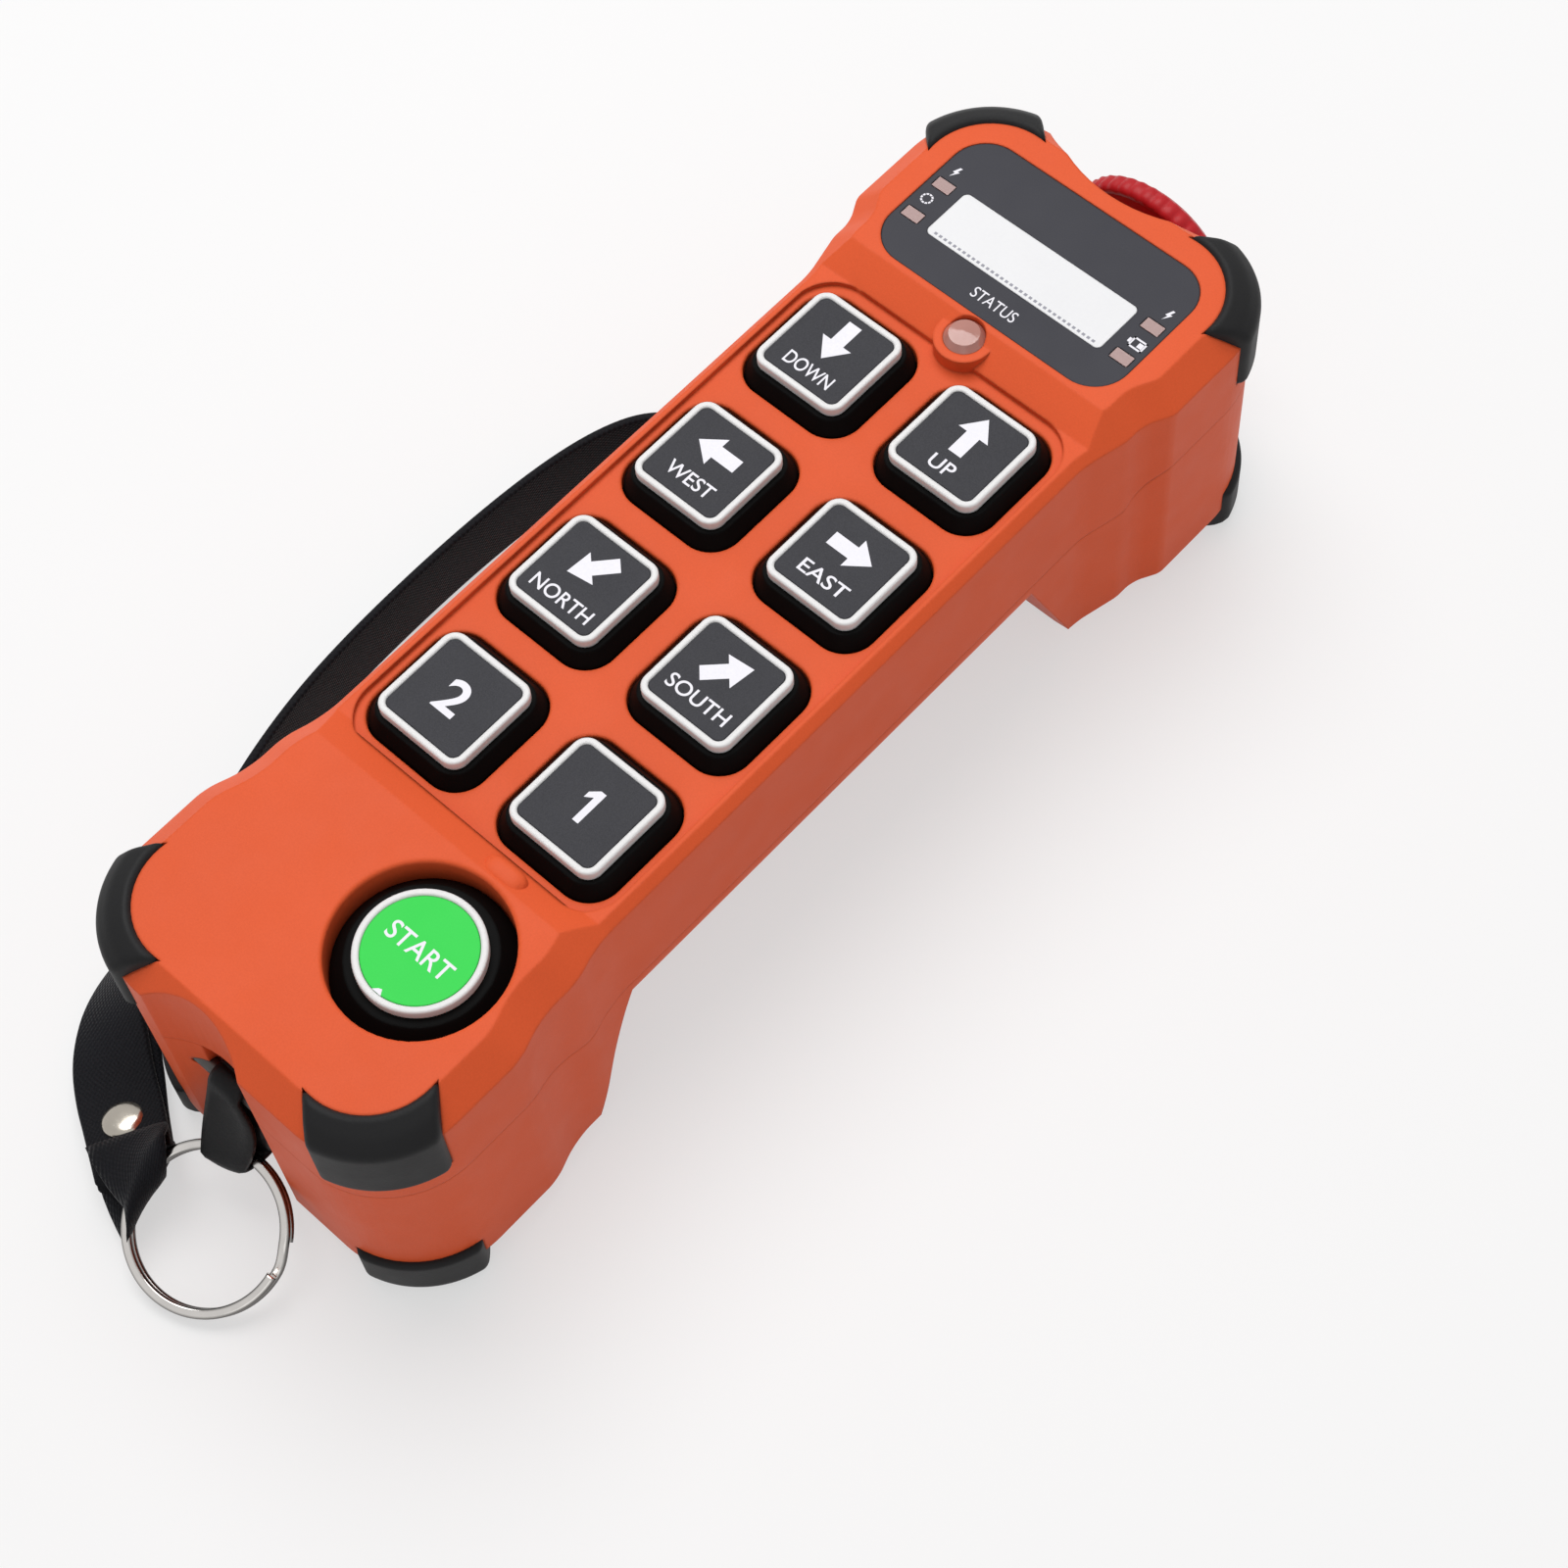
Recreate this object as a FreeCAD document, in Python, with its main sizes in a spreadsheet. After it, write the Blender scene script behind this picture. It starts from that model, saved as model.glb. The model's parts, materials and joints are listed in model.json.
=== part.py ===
import FreeCAD, Part
import math
import os
import Sketcher

V = FreeCAD.Vector
UP = V(0, 0, 1)
SAME = 1e-3

# Handheld push-button transmitter lying on its back. X runs across the keys, Y from the lanyard end
# to the emergency-stop end, Z out of the key face. Sizes are in millimetres, angles in degrees.
SIZES = [
    ("body_length", "184.8", "housing between its two end faces"),
    ("body_width", "60", "end blocks across the keys"),
    ("shoulder_width", "55.6", "shoulder between an end block and the waist"),
    ("waist_width", "52", "hand grip across the keys"),
    ("body_top", "50.3", "raised end faces above the table"),
    ("keypad_top", "46.8", "key face above the table"),
    ("lip_height", "0.8", "raised lip round the key field"),
    ("waist_bottom", "22", "underside of the hand grip above the table"),
    ("waist_round", "5", "rounding of the grip's lower edges"),
    ("edge_chamfer", "4", "bevel round the housing's top and bottom"),
    ("corner_radius", "15", "housing corners seen from above"),
    ("wall", "2.5", "wall of the moulded shells"),
    ("parting_block", "33", "joint of the two shells at the end blocks"),
    ("parting_waist", "28", "joint of the two shells along the grip"),
    ("near_straight", "26.25", "straight side of the lanyard-end block"),
    ("near_facet", "6", "slant from that block to its shoulder"),
    ("near_shoulder", "6.5", "length of that shoulder"),
    ("near_neck", "6", "slant from that shoulder to the grip"),
    ("far_straight", "27.55", "straight side of the display-end block"),
    ("far_facet", "4", "slant from that block to its shoulder"),
    ("far_shoulder", "3.5", "length of that shoulder"),
    ("far_neck", "7.5", "slant from that shoulder to the grip"),
    ("near_foot", "35.2", "underside of the lanyard-end block"),
    ("near_run", "11", "slope from that block to the grip's underside"),
    ("far_foot", "42.5", "underside of the display-end block"),
    ("far_run", "9", "slope from that block to the grip's underside"),
    ("near_plateau", "41.25", "raised face at the lanyard end"),
    ("far_plateau", "35.6", "raised face at the display end"),
    ("valley_run", "5", "slope from a raised face down to the keys"),
    ("nub_x", "11", "moulded nub on the slope beside the start button"),
    ("nub_from_near", "42.85", "that nub from the lanyard-end face"),
    ("nub_length", "5.6", "that nub across the keys"),
    ("nub_width", "2.3", "that nub along the housing"),
    ("nub_drop", "0.4", "top of that nub below the raised face"),
    ("near_scoop_depth", "3.3", "hollow in the lanyard-end face"),
    ("near_scoop_radius", "14.75", "radius of that hollow"),
    ("far_scoop_depth", "5.9", "hollow behind the emergency-stop head"),
    ("far_scoop_radius", "25", "radius of that hollow"),
    ("far_scoop_wall", "3.5", "wall behind that hollow"),
    ("seal_width", "1", "gasket between the shells"),
    ("seal_height", "1.6", "height of that gasket"),
    ("guard_proud", "1", "corner guards stand this far out of the housing"),
    ("guard_sink", "1", "corner guards sit this far in the housing"),
    ("guard_lap", "0.3", "corner guards reach this far over the flat faces"),
    ("guard_skirt", "9", "upright face of an upper guard"),
    ("guard_bevel", "0.8", "bevel under a lower guard"),
    ("guard_heel", "4", "upright face of a lower guard"),
    ("guard_sweep", "130", "angle of the turned form that a guard is cut from"),
    ("guard_width", "17.3", "a guard across its corner"),
    ("guard_brow", "1.7", "ridge of an upper guard above the housing's bevel"),
    ("grid_from_near", "94.5", "centre of the key grid from the lanyard-end face"),
    ("key_pitch", "25", "key spacing both ways"),
    ("key_opening", "20.6", "square opening for a key"),
    ("opening_radius", "5", "corners of that opening"),
    ("opening_round", "0.4", "rounding of that opening's edge"),
    ("field_end", "2", "sunk key field beyond its end openings"),
    ("field_side", "1.2", "sunk key field beyond its side openings"),
    ("field_round", "1.5", "corners of that field beyond the openings' corners"),
    ("key_gap", "0.3", "gap round a moving key"),
    ("key_travel", "2", "stroke of a key"),
    ("key_height", "3.7", "key rim above the key face"),
    ("key_taper", "1.3", "slope of a rubber key boot across its height"),
    ("flange_lap", "0.55", "key flange behind the edge of its opening"),
    ("flange_height", "1.4", "thickness of that flange"),
    ("rim_size", "15.9", "square white rim of a key"),
    ("rim_radius", "2.3", "corners of that rim"),
    ("rim_width", "1.05", "breadth of the rim's edge"),
    ("rim_height", "1.6", "height of the rim"),
    ("rim_round", "0.35", "rounding of the rim's top"),
    ("insert_drop", "0.2", "legend insert below the rim's edge"),
    ("insert_gap", "0.05", "legend insert inside its rim"),
    ("plunger_size", "6", "plunger under a key"),
    ("start_x", "10.8", "start button from the middle"),
    ("start_from_near", "27.7", "start button from the lanyard-end face"),
    ("start_well", "25.4", "round well of the start button"),
    ("well_round", "0.6", "rounding of that well's edge"),
    ("start_rim", "17.9", "white rim of the start button"),
    ("start_drop", "0.1", "start button below the raised face"),
    ("switch_height", "3.2", "key switch on the circuit board"),
    ("switch_size", "6.2", "square body of a key switch"),
    ("switch_button", "1", "button on a key switch"),
    ("board_bottom", "31.5", "circuit board above the table"),
    ("board_thickness", "1.6", "circuit board"),
    ("board_width", "45", "circuit board across the keys"),
    ("board_radius", "2", "corners of the circuit board"),
    ("board_gap", "1", "circuit board from the lanyard-end wall"),
    ("board_to_block", "2", "circuit board from the contact block"),
    ("boss_size", "6", "posts that carry the circuit board"),
    ("boss_root", "0.5", "posts run this far into what carries them"),
    ("panel_width", "44.4", "display panel across the keys"),
    ("panel_height", "26", "display panel along the housing"),
    ("panel_radius", "6", "corners of the display panel"),
    ("panel_thickness", "1", "display panel"),
    ("panel_gap", "0.1", "display panel inside its recess"),
    ("panel_from_far", "21.65", "panel centre from the display-end face"),
    ("window_width", "32.6", "clear window over the display"),
    ("window_height", "9.3", "clear window along the housing"),
    ("window_radius", "1", "corners of that window and of its frame"),
    ("window_offset", "1.75", "window nearer the keys than the panel's centre"),
    ("lamp_width", "3.4", "indicator lens across the keys"),
    ("lamp_height", "2.2", "indicator lens along the housing"),
    ("lamp_radius", "0.4", "corners of an indicator lens's hole"),
    ("lamp_gap", "0.15", "indicator lens inside its hole"),
    ("lamp_x", "19.6", "indicator lens from the middle"),
    ("lamp_spacing", "6.8", "indicator lenses of one side"),
    ("display_depth", "5", "display module"),
    ("display_frame", "2", "frame of the display module beyond the window"),
    ("glass_radius", "0.8", "corners of the display module's glass"),
    ("lens_from_far", "38", "status lens from the display-end face"),
    ("lens_diameter", "6.2", "clear status lens"),
    ("lens_boss", "9", "moulded ring round the status lens"),
    ("lens_drop", "1", "that ring below the raised face"),
    ("lens_flange", "1.2", "flange behind the status lens"),
    ("lens_shoulder", "1", "bevel of the status lens above its ring"),
    ("lens_dome", "1.4", "top of the status lens above its ring"),
    ("cell_length", "44.5", "battery cell"),
    ("cell_diameter", "10.5", "battery cell"),
    ("cell_gap", "0.3", "room round a battery cell"),
    ("cell_pole", "1", "pole of a battery cell"),
    ("bay_radius", "0.5", "corners of the battery bay"),
    ("contact_thickness", "0.7", "spring plates at the cells' ends"),
    ("cover_width", "50", "battery cover across the keys"),
    ("cover_length", "24", "battery cover along the housing"),
    ("cover_from_near", "10.15", "battery cover from the lanyard-end face"),
    ("cover_thickness", "2", "battery cover"),
    ("cover_gap", "0.2", "battery cover inside its seat"),
    ("screw_size", "2.6", "screw shank"),
    ("screw_head", "4.2", "screw head"),
    ("screw_head_height", "1.6", "screw head"),
    ("screw_gap", "0.1", "gap round a screw"),
    ("screw_recess", "1", "screw heads inside the underside"),
    ("screw_end", "1", "screw tips below the wall under the keys"),
    ("case_screw_x", "14.5", "housing screws from the middle"),
    ("case_screw_edge", "0.3", "housing screw holes from the gasket"),
    ("estop_height", "25.5", "emergency-stop axis above the table"),
    ("head_reach", "7.7", "emergency-stop head beyond the display-end face"),
    ("head_diameter", "28", "emergency-stop head"),
    ("head_thickness", "4", "rim of the emergency-stop head"),
    ("head_bevel", "1", "bevel behind that rim"),
    ("head_round", "1.4", "bevel in front of that rim"),
    ("head_crown", "0.3", "rise of the head's face"),
    ("head_hub", "13", "hub behind the emergency-stop head"),
    ("stem_diameter", "8", "emergency-stop stem"),
    ("running_gap", "0.05", "stem in its collar and head on its stem"),
    ("estop_travel", "3.5", "stroke of the emergency-stop head"),
    ("collar_flange", "20", "flange of the emergency-stop collar"),
    ("collar_barrel", "12.6", "barrel of that collar"),
    ("collar_proud", "2.6", "thickness of that flange"),
    ("estop_block", "18", "contact block across the keys"),
    ("estop_block_length", "18", "contact block along the housing"),
    ("block_gap", "4.5", "contact block from the wall behind the stop head"),
    ("block_to_board", "0.5", "contact block under the circuit board"),
    ("anchor_x", "-4.5", "lanyard tab off the middle"),
    ("anchor_in", "2.8", "lanyard bar inside the end face"),
    ("anchor_height", "26.5", "lanyard bar above the table"),
    ("anchor_slot", "9", "slot for the lanyard tab"),
    ("anchor_slot_depth", "6.8", "depth of that slot"),
    ("anchor_slot_radius", "2", "corners of that slot"),
    ("bar_diameter", "2.4", "lanyard bar"),
    ("bar_bearing", "4", "bar held in the wall at each end"),
    ("tab_width", "6.4", "lanyard tab across the keys"),
    ("tab_top", "3", "rounding of the tab at its bar"),
    ("tab_eye", "4.5", "rounding of the tab at its ring"),
    ("tab_hole", "6.8", "hole for the ring in the tab"),
    ("tab_gap", "0.3", "tab round its bar and ring"),
    ("ring_drop", "15", "split ring below the lanyard bar"),
    ("ring_out", "4.2", "split ring outside the lanyard bar"),
    ("ring_diameter", "25", "split ring"),
    ("ring_wire", "1.7", "split ring wire seen from above"),
    ("ring_depth", "2.4", "two turns of split ring wire"),
    ("ring_groove", "0.15", "groove between those turns"),
    ("ring_tilt", "25", "split ring leaning on the table"),
    ("ring_yaw", "20", "split ring turned on its tab"),
    ("strap_width", "12", "wrist strap"),
    ("strap_thickness", "1.6", "wrist strap"),
    ("strap_end", "5.5", "flat end of the strap beyond its rivet"),
    ("strap_apart", "2.6", "the strap's two runs where they leave that end"),
    ("strap_reach", "22", "wrist strap beside the housing"),
    ("rivet_diameter", "6.6", "strap rivet"),
    ("rivet_height", "1.2", "strap rivet cap"),
    ("rivet_in", "8", "strap rivet inside the line of the housing's side"),
    ("rivet_out", "8.2", "strap rivet beyond the lanyard-end face"),
    ("rivet_level", "4.2", "middle of the riveted strap above the table"),
]

doc = FreeCAD.newDocument("transmitter")
sheet = doc.addObject("Spreadsheet::Sheet", "Sizes")
for row, (alias, text, meaning) in enumerate(SIZES, 1):
    sheet.set("A%d" % row, meaning)
    sheet.set("B%d" % row, text)
    sheet.setAlias("B%d" % row, alias)
doc.recompute()


class Size:
    """A number together with the sheet formula that it comes from."""

    def __init__(self, number, formula):
        self.number = float(number)
        self.formula = formula

    def __add__(self, other):
        other = as_size(other)
        return Size(self.number + other.number, "(%s + %s)" % (self.formula, other.formula))

    def __radd__(self, other):
        return as_size(other) + self

    def __sub__(self, other):
        other = as_size(other)
        return Size(self.number - other.number, "(%s - %s)" % (self.formula, other.formula))

    def __rsub__(self, other):
        return as_size(other) - self

    def __mul__(self, other):
        other = as_size(other)
        return Size(self.number * other.number, "%s * %s" % (self.formula, other.formula))

    def __rmul__(self, other):
        return as_size(other) * self

    def __truediv__(self, other):
        other = as_size(other)
        return Size(self.number / other.number, "%s / %s" % (self.formula, other.formula))

    def __neg__(self):
        return Size(-self.number, "(0 - %s)" % self.formula)


def as_size(value):
    return value if isinstance(value, Size) else Size(value, "%.6f" % value)


class Dimensions:
    """Every aliased cell of the sheet as a Size."""


dim = Dimensions()
for alias, text, meaning in SIZES:
    setattr(dim, alias, Size(sheet.get(alias), "Sizes." + alias))


def bind(thing, path, size):
    thing.setExpression(path, as_size(size).formula)


def place(thing, x, y, z, rotation=None):
    thing.Placement = FreeCAD.Placement(V(), rotation or FreeCAD.Rotation())
    for axis, size in (("x", x), ("y", y), ("z", z)):
        bind(thing, "Placement.Base." + axis, size)
    return thing


def flat(point):
    return V(as_size(point[0]).number, as_size(point[1]).number, 0)


def new_body(label):
    body = doc.addObject("PartDesign::Body", "Body")
    body.Label = label
    return body


def new_sketch(body, plane="XY", offset=0):
    """Empty sketch on one of the body's own origin planes, moved along that plane's normal."""
    sketch = body.newObject("Sketcher::SketchObject", "Sketch")
    planes = [feature for feature in body.Origin.OriginFeatures if feature.Role == plane + "_Plane"]
    sketch.AttachmentSupport = (planes[0], [""])
    sketch.MapMode = "FlatFace"
    bind(sketch, "AttachmentOffset.Base.z", offset)
    return sketch


def pinned(geometry, end, point):
    """Constraints that hold one point of a sketch at a pair of sizes, each with its formula."""
    found = []
    for size, kind, axis in ((point[0], "DistanceX", -2), (point[1], "DistanceY", -1)):
        size = as_size(size)
        if size.number == 0:
            found.append((Sketcher.Constraint("PointOnObject", geometry, end, axis), None))
        else:
            found.append((Sketcher.Constraint(kind, -1, 1, geometry, end, size.number), size.formula))
    return found


def constrain(sketch, pairs):
    """Add constraints in one go and bind each to its formula."""
    first = sketch.ConstraintCount
    sketch.addConstraint([constraint for constraint, formula in pairs])
    for i, (constraint, formula) in enumerate(pairs, first):
        if formula:
            sketch.setExpression("Constraints[%d]" % i, formula)


def outline(sketch, points, arcs=None):
    """Closed outline; the segments listed in arcs bulge about a centre with a radius."""
    arcs = arcs or {}
    count = len(points)
    first = sketch.GeometryCount
    for i in range(count):
        start = flat(points[i])
        end = flat(points[(i + 1) % count])
        if i in arcs:
            centre = flat(arcs[i][0])
            begin = math.atan2(start.y - centre.y, start.x - centre.x)
            finish = math.atan2(end.y - centre.y, end.x - centre.x)
            if finish <= begin:
                finish += 2 * math.pi
            circle = Part.Circle(centre, UP, as_size(arcs[i][1]).number)
            sketch.addGeometry(Part.ArcOfCircle(circle, begin, finish), False)
        else:
            sketch.addGeometry(Part.LineSegment(start, end), False)
    pairs = []
    for i in range(count):
        follower = first + (i + 1) % count
        pairs.append((Sketcher.Constraint("Coincident", first + i, 2, follower, 1), None))
        pairs += pinned(first + i, 1, points[i])
    for i, (centre, radius) in arcs.items():
        radius = as_size(radius)
        pairs.append((Sketcher.Constraint("Radius", first + i, radius.number), radius.formula))
    constrain(sketch, pairs)
    return sketch


def rounded(sketch, x, y, width, height, radius):
    """Rectangle with rounded corners about a centre."""
    a = width / 2
    b = height / 2
    points = [
        (x - a + radius, y - b), (x + a - radius, y - b),
        (x + a, y - b + radius), (x + a, y + b - radius),
        (x + a - radius, y + b), (x - a + radius, y + b),
        (x - a, y + b - radius), (x - a, y - b + radius),
    ]
    arcs = {
        1: ((x + a - radius, y - b + radius), radius), 3: ((x + a - radius, y + b - radius), radius),
        5: ((x - a + radius, y + b - radius), radius), 7: ((x - a + radius, y - b + radius), radius),
    }
    return outline(sketch, points, arcs)


def disc(sketch, x, y, diameter):
    radius = as_size(diameter) / 2
    at = sketch.addGeometry(Part.Circle(flat((x, y)), UP, radius.number), False)
    size = (Sketcher.Constraint("Radius", at, radius.number), radius.formula)
    constrain(sketch, pinned(at, 3, (x, y)) + [size])
    return sketch


def extrude(kind, body, sketch, length, symmetric, back):
    feature = body.newObject("PartDesign::" + kind, kind)
    feature.Profile = sketch
    bind(feature, "Length", length)
    feature.SideType = "Symmetric" if symmetric else "One side"
    feature.Reversed = back
    body.Tip = feature
    return feature


def pad(body, sketch, length, symmetric=False):
    return extrude("Pad", body, sketch, length, symmetric, False)


def pocket(body, sketch, length, symmetric=False, upwards=False):
    return extrude("Pocket", body, sketch, length, symmetric, upwards)


def loft(body, lower, upper):
    feature = body.newObject("PartDesign::AdditiveLoft", "Loft")
    feature.Profile = lower
    feature.Sections = [upper]
    feature.Ruled = True
    body.Tip = feature
    return feature


def turn(body, sketch, angle=360, symmetric=False):
    """Solid of revolution about the sketch's upright axis."""
    feature = body.newObject("PartDesign::Revolution", "Revolution")
    feature.Profile = sketch
    feature.ReferenceAxis = (sketch, ["V_Axis"])
    bind(feature, "Angle", angle)
    feature.Midplane = symmetric
    body.Tip = feature
    return feature


def dress(kind, size_name, body, test, size):
    """Fillet or chamfer on every edge of the body that passes a geometric test."""
    doc.recompute()
    base = body.Tip
    names = ["Edge%d" % i for i, edge in enumerate(base.Shape.Edges, 1) if test(edge)]
    feature = body.newObject("PartDesign::" + kind, kind)
    feature.Base = (base, names)
    bind(feature, size_name, size)
    body.Tip = feature
    return feature


def fillet(body, test, radius):
    return dress("Fillet", "Radius", body, test, radius)


def chamfer(body, test, size):
    return dress("Chamfer", "Size", body, test, size)


def at_height(height):
    z = as_size(height).number
    return lambda edge: all(abs(vertex.Z - z) < SAME for vertex in edge.Vertexes)


def fuse(label, things):
    feature = doc.addObject("Part::MultiFuse", "Fuse")
    feature.Shapes = things
    feature.Label = label
    return feature


def cut(label, base, tool):
    feature = doc.addObject("Part::Cut", "Cut")
    feature.Base = base
    feature.Tool = tool
    feature.Label = label
    return feature


def group(label, things):
    feature = doc.addObject("Part::Compound", "Group")
    feature.Links = things
    feature.Label = label
    return feature


def box(x, y, z, width, length, height):
    """Box about x and y that stands on z."""
    feature = doc.addObject("Part::Box", "Box")
    bind(feature, "Width", length)
    bind(feature, "Length", width)
    bind(feature, "Height", height)
    return place(feature, x - as_size(width) / 2, y - as_size(length) / 2, z)


def rod(x, y, z, diameter, height, rotation=None):
    """Round bar that starts at a point and runs along Z, or along the rotated Z."""
    feature = doc.addObject("Part::Cylinder", "Rod")
    bind(feature, "Radius", as_size(diameter) / 2)
    bind(feature, "Height", height)
    return place(feature, x, y, z, rotation)


ALONG_X = FreeCAD.Rotation(V(0, 1, 0), 90)
ALONG_Y = FreeCAD.Rotation(V(1, 0, 0), -90)
nodes = []


def keep(thing, label=None):
    thing.Label = label or thing.Label
    nodes.append(thing)
    return thing


# Positions along the housing; the table contact and the middle of the overall length are the origin.
near_end = (dim.guard_proud - dim.body_length - dim.head_reach) / 2
far_end = near_end + dim.body_length
body_bottom = dim.guard_proud
near_a = near_end + dim.near_straight
near_b = near_a + dim.near_facet
near_c = near_b + dim.near_shoulder
near_d = near_c + dim.near_neck
far_a = far_end - dim.far_straight
far_b = far_a - dim.far_facet
far_c = far_b - dim.far_shoulder
far_d = far_c - dim.far_neck
grid_y = near_end + dim.grid_from_near
start_y = near_end + dim.start_from_near
panel_y = far_end - dim.panel_from_far
lens_y = far_end - dim.lens_from_far
near_slot = near_end + dim.anchor_slot_depth
far_scoop = far_end - dim.far_scoop_depth
cavity_near = near_slot + dim.wall
cavity_far = far_scoop - dim.far_scoop_wall
cavity_radius = dim.corner_radius / 2
ceiling = dim.keypad_top - dim.wall
plateau_ceiling = dim.body_top - dim.wall
board_top = dim.board_bottom + dim.board_thickness
wide = dim.body_width * 2
lip_top = dim.keypad_top + dim.lip_height

# Cuts start outside what they cut: beyond the ends, above the housing, or just above one face
BEYOND = 20
CLEAR = 5
SKIM = 1


def dogbone(sketch, inset, near_y, far_y, radius):
    """Plan of the housing: two end blocks, a narrower grip and a shoulder at each change of width."""
    block = dim.body_width / 2 - inset
    shoulder = dim.shoulder_width / 2 - inset
    waist = dim.waist_width / 2 - inset
    right = [
        (block - radius, near_y), (block, near_y + radius), (block, near_a), (shoulder, near_b),
        (shoulder, near_c), (waist, near_d), (waist, far_d), (shoulder, far_c),
        (shoulder, far_b), (block, far_a), (block, far_y - radius), (block - radius, far_y),
    ]
    left = [(-x, y) for x, y in reversed(right)]
    arcs = {
        0: ((block - radius, near_y + radius), radius), 10: ((block - radius, far_y - radius), radius),
        12: ((radius - block, far_y - radius), radius), 22: ((radius - block, near_y + radius), radius),
    }
    return outline(sketch, right + left, arcs)


def parting(lower, upper):
    """Side view of the shells' joint, raised by lower and upper, as a closed band."""
    def edge(rise):
        return [
            (near_end - BEYOND, dim.parting_block + rise), (near_a, dim.parting_block + rise),
            (near_c, dim.parting_waist + rise), (far_c, dim.parting_waist + rise),
            (far_a, dim.parting_block + rise), (far_end + BEYOND, dim.parting_block + rise),
        ]
    return edge(lower) + list(reversed(edge(upper)))


def scoops(body):
    """Upright hollows in both end faces."""
    sketch = new_sketch(body, "XY", dim.body_top + CLEAR)
    near_scoop = near_end + dim.near_scoop_depth
    disc(sketch, dim.anchor_x, near_scoop - dim.near_scoop_radius, dim.near_scoop_radius * 2)
    disc(sketch, 0, far_scoop + dim.far_scoop_radius, dim.far_scoop_radius * 2)
    pocket(body, sketch, dim.body_top + CLEAR * 2)
    face = new_sketch(body, "XZ", -far_end)
    disc(face, 0, dim.estop_height, dim.collar_flange + dim.cover_gap * 2)
    pocket(body, face, dim.far_scoop_depth, upwards=True)


# Corner guards, turned about the corner axes
corner_x = dim.body_width / 2 - dim.corner_radius
CORNERS = [
    ("near_left", -corner_x, near_end + dim.corner_radius, 225),
    ("near_right", corner_x, near_end + dim.corner_radius, -45),
    ("far_left", -corner_x, far_end - dim.corner_radius, 135),
    ("far_right", corner_x, far_end - dim.corner_radius, 45),
]
guard_in = dim.corner_radius - dim.edge_chamfer - dim.guard_lap
guard_out = dim.corner_radius + dim.guard_proud
guard_back = dim.corner_radius - dim.guard_sink
guard_slack = dim.guard_sink * 0.4
upper_ridge = dim.body_top - dim.edge_chamfer
lower_ridge = body_bottom + dim.edge_chamfer
UPPER_GUARD = [
    (guard_in, dim.body_top + dim.guard_proud), (guard_in, dim.body_top - dim.guard_sink),
    (guard_back, upper_ridge - guard_slack), (guard_back, upper_ridge - dim.guard_skirt),
    (guard_out, upper_ridge - dim.guard_skirt), (guard_out, upper_ridge + dim.guard_brow),
    (guard_back, dim.body_top - guard_slack),
]
LOWER_GUARD = [
    (guard_in, 0), (guard_out - dim.guard_bevel, 0), (guard_out, dim.guard_bevel),
    (guard_out, lower_ridge + dim.guard_heel), (guard_back, lower_ridge + dim.guard_heel),
    (guard_back, lower_ridge + guard_slack), (guard_in, body_bottom + dim.guard_sink),
]


def guards(name, profile):
    """One guard at each corner, with its ends cut straight so that they taper to horns."""
    bodies = []
    half = dim.guard_width / 2
    beyond = guard_out * 2
    for corner, x, y, angle in CORNERS:
        body = new_body("%s_%s" % (name, corner))
        turn(body, outline(new_sketch(body, "XZ"), profile), dim.guard_sweep, True)
        ends = new_sketch(body, "XY", dim.body_top + CLEAR)
        for end in (-1, 1):
            outline(ends, [(0, half * end), (beyond, half * end), (beyond, beyond * end), (0, beyond * end)])
        pocket(body, ends, dim.body_top + CLEAR * 2)
        place(body, x, y, 0, FreeCAD.Rotation(UP, angle))
        bodies.append(keep(body))
    return bodies


front_guards = guards("front_guard", UPPER_GUARD)
rear_guards = guards("rear_guard", LOWER_GUARD)

# Gasket that follows the stepped joint
seal_ring = new_body("seal_plan")
ring_sketch = new_sketch(seal_ring, "XY", body_bottom)
dogbone(ring_sketch, dim.wall / 4, cavity_near - dim.seal_width, cavity_far + dim.seal_width, cavity_radius)
dogbone(ring_sketch, dim.wall / 4 + dim.seal_width, cavity_near, cavity_far, cavity_radius - dim.seal_width)
pad(seal_ring, ring_sketch, dim.body_top - body_bottom)
seal_band = new_body("seal_band")
seal_side = parting(-dim.seal_height / 2, dim.seal_height / 2)
pad(seal_band, outline(new_sketch(seal_band, "YZ"), seal_side), wide, True)
seal = doc.addObject("Part::Common", "Common")
seal.Base = seal_ring
seal.Tool = seal_band
keep(seal, "housing_seal")

# Upper shell
front = new_body("front_shell")
dogbone(new_sketch(front, "XY", dim.parting_waist), 0, near_end, far_end, dim.corner_radius)
pad(front, front.Group[-1], dim.body_top - dim.parting_waist)
chamfer(front, at_height(dim.body_top), dim.edge_chamfer)
valley = [
    (near_end + dim.near_plateau, dim.body_top + SKIM), (near_end + dim.near_plateau, dim.body_top),
    (near_end + dim.near_plateau + dim.valley_run, lip_top),
    (far_end - dim.far_plateau - dim.valley_run, lip_top), (far_end - dim.far_plateau, dim.body_top),
    (far_end - dim.far_plateau, dim.body_top + SKIM),
]
pocket(front, outline(new_sketch(front, "YZ"), valley), wide, True)
below = parting(0, 0)[:6] + [(far_end + BEYOND, 0), (near_end - BEYOND, 0)]
pocket(front, outline(new_sketch(front, "YZ"), below), wide, True)
field_near = grid_y - dim.key_pitch * 1.5 - dim.key_opening / 2 - dim.field_end
field_far = grid_y + dim.key_pitch * 1.5 + dim.key_opening / 2 + dim.field_end
field = new_sketch(front, "XY", lip_top + SKIM / 2)
rounded(field, as_size(0), (field_near + field_far) / 2, dim.key_pitch + dim.key_opening + dim.field_side * 2,
        field_far - field_near, dim.opening_radius + dim.field_round)
pocket(front, field, dim.lip_height + SKIM / 2)
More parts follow.
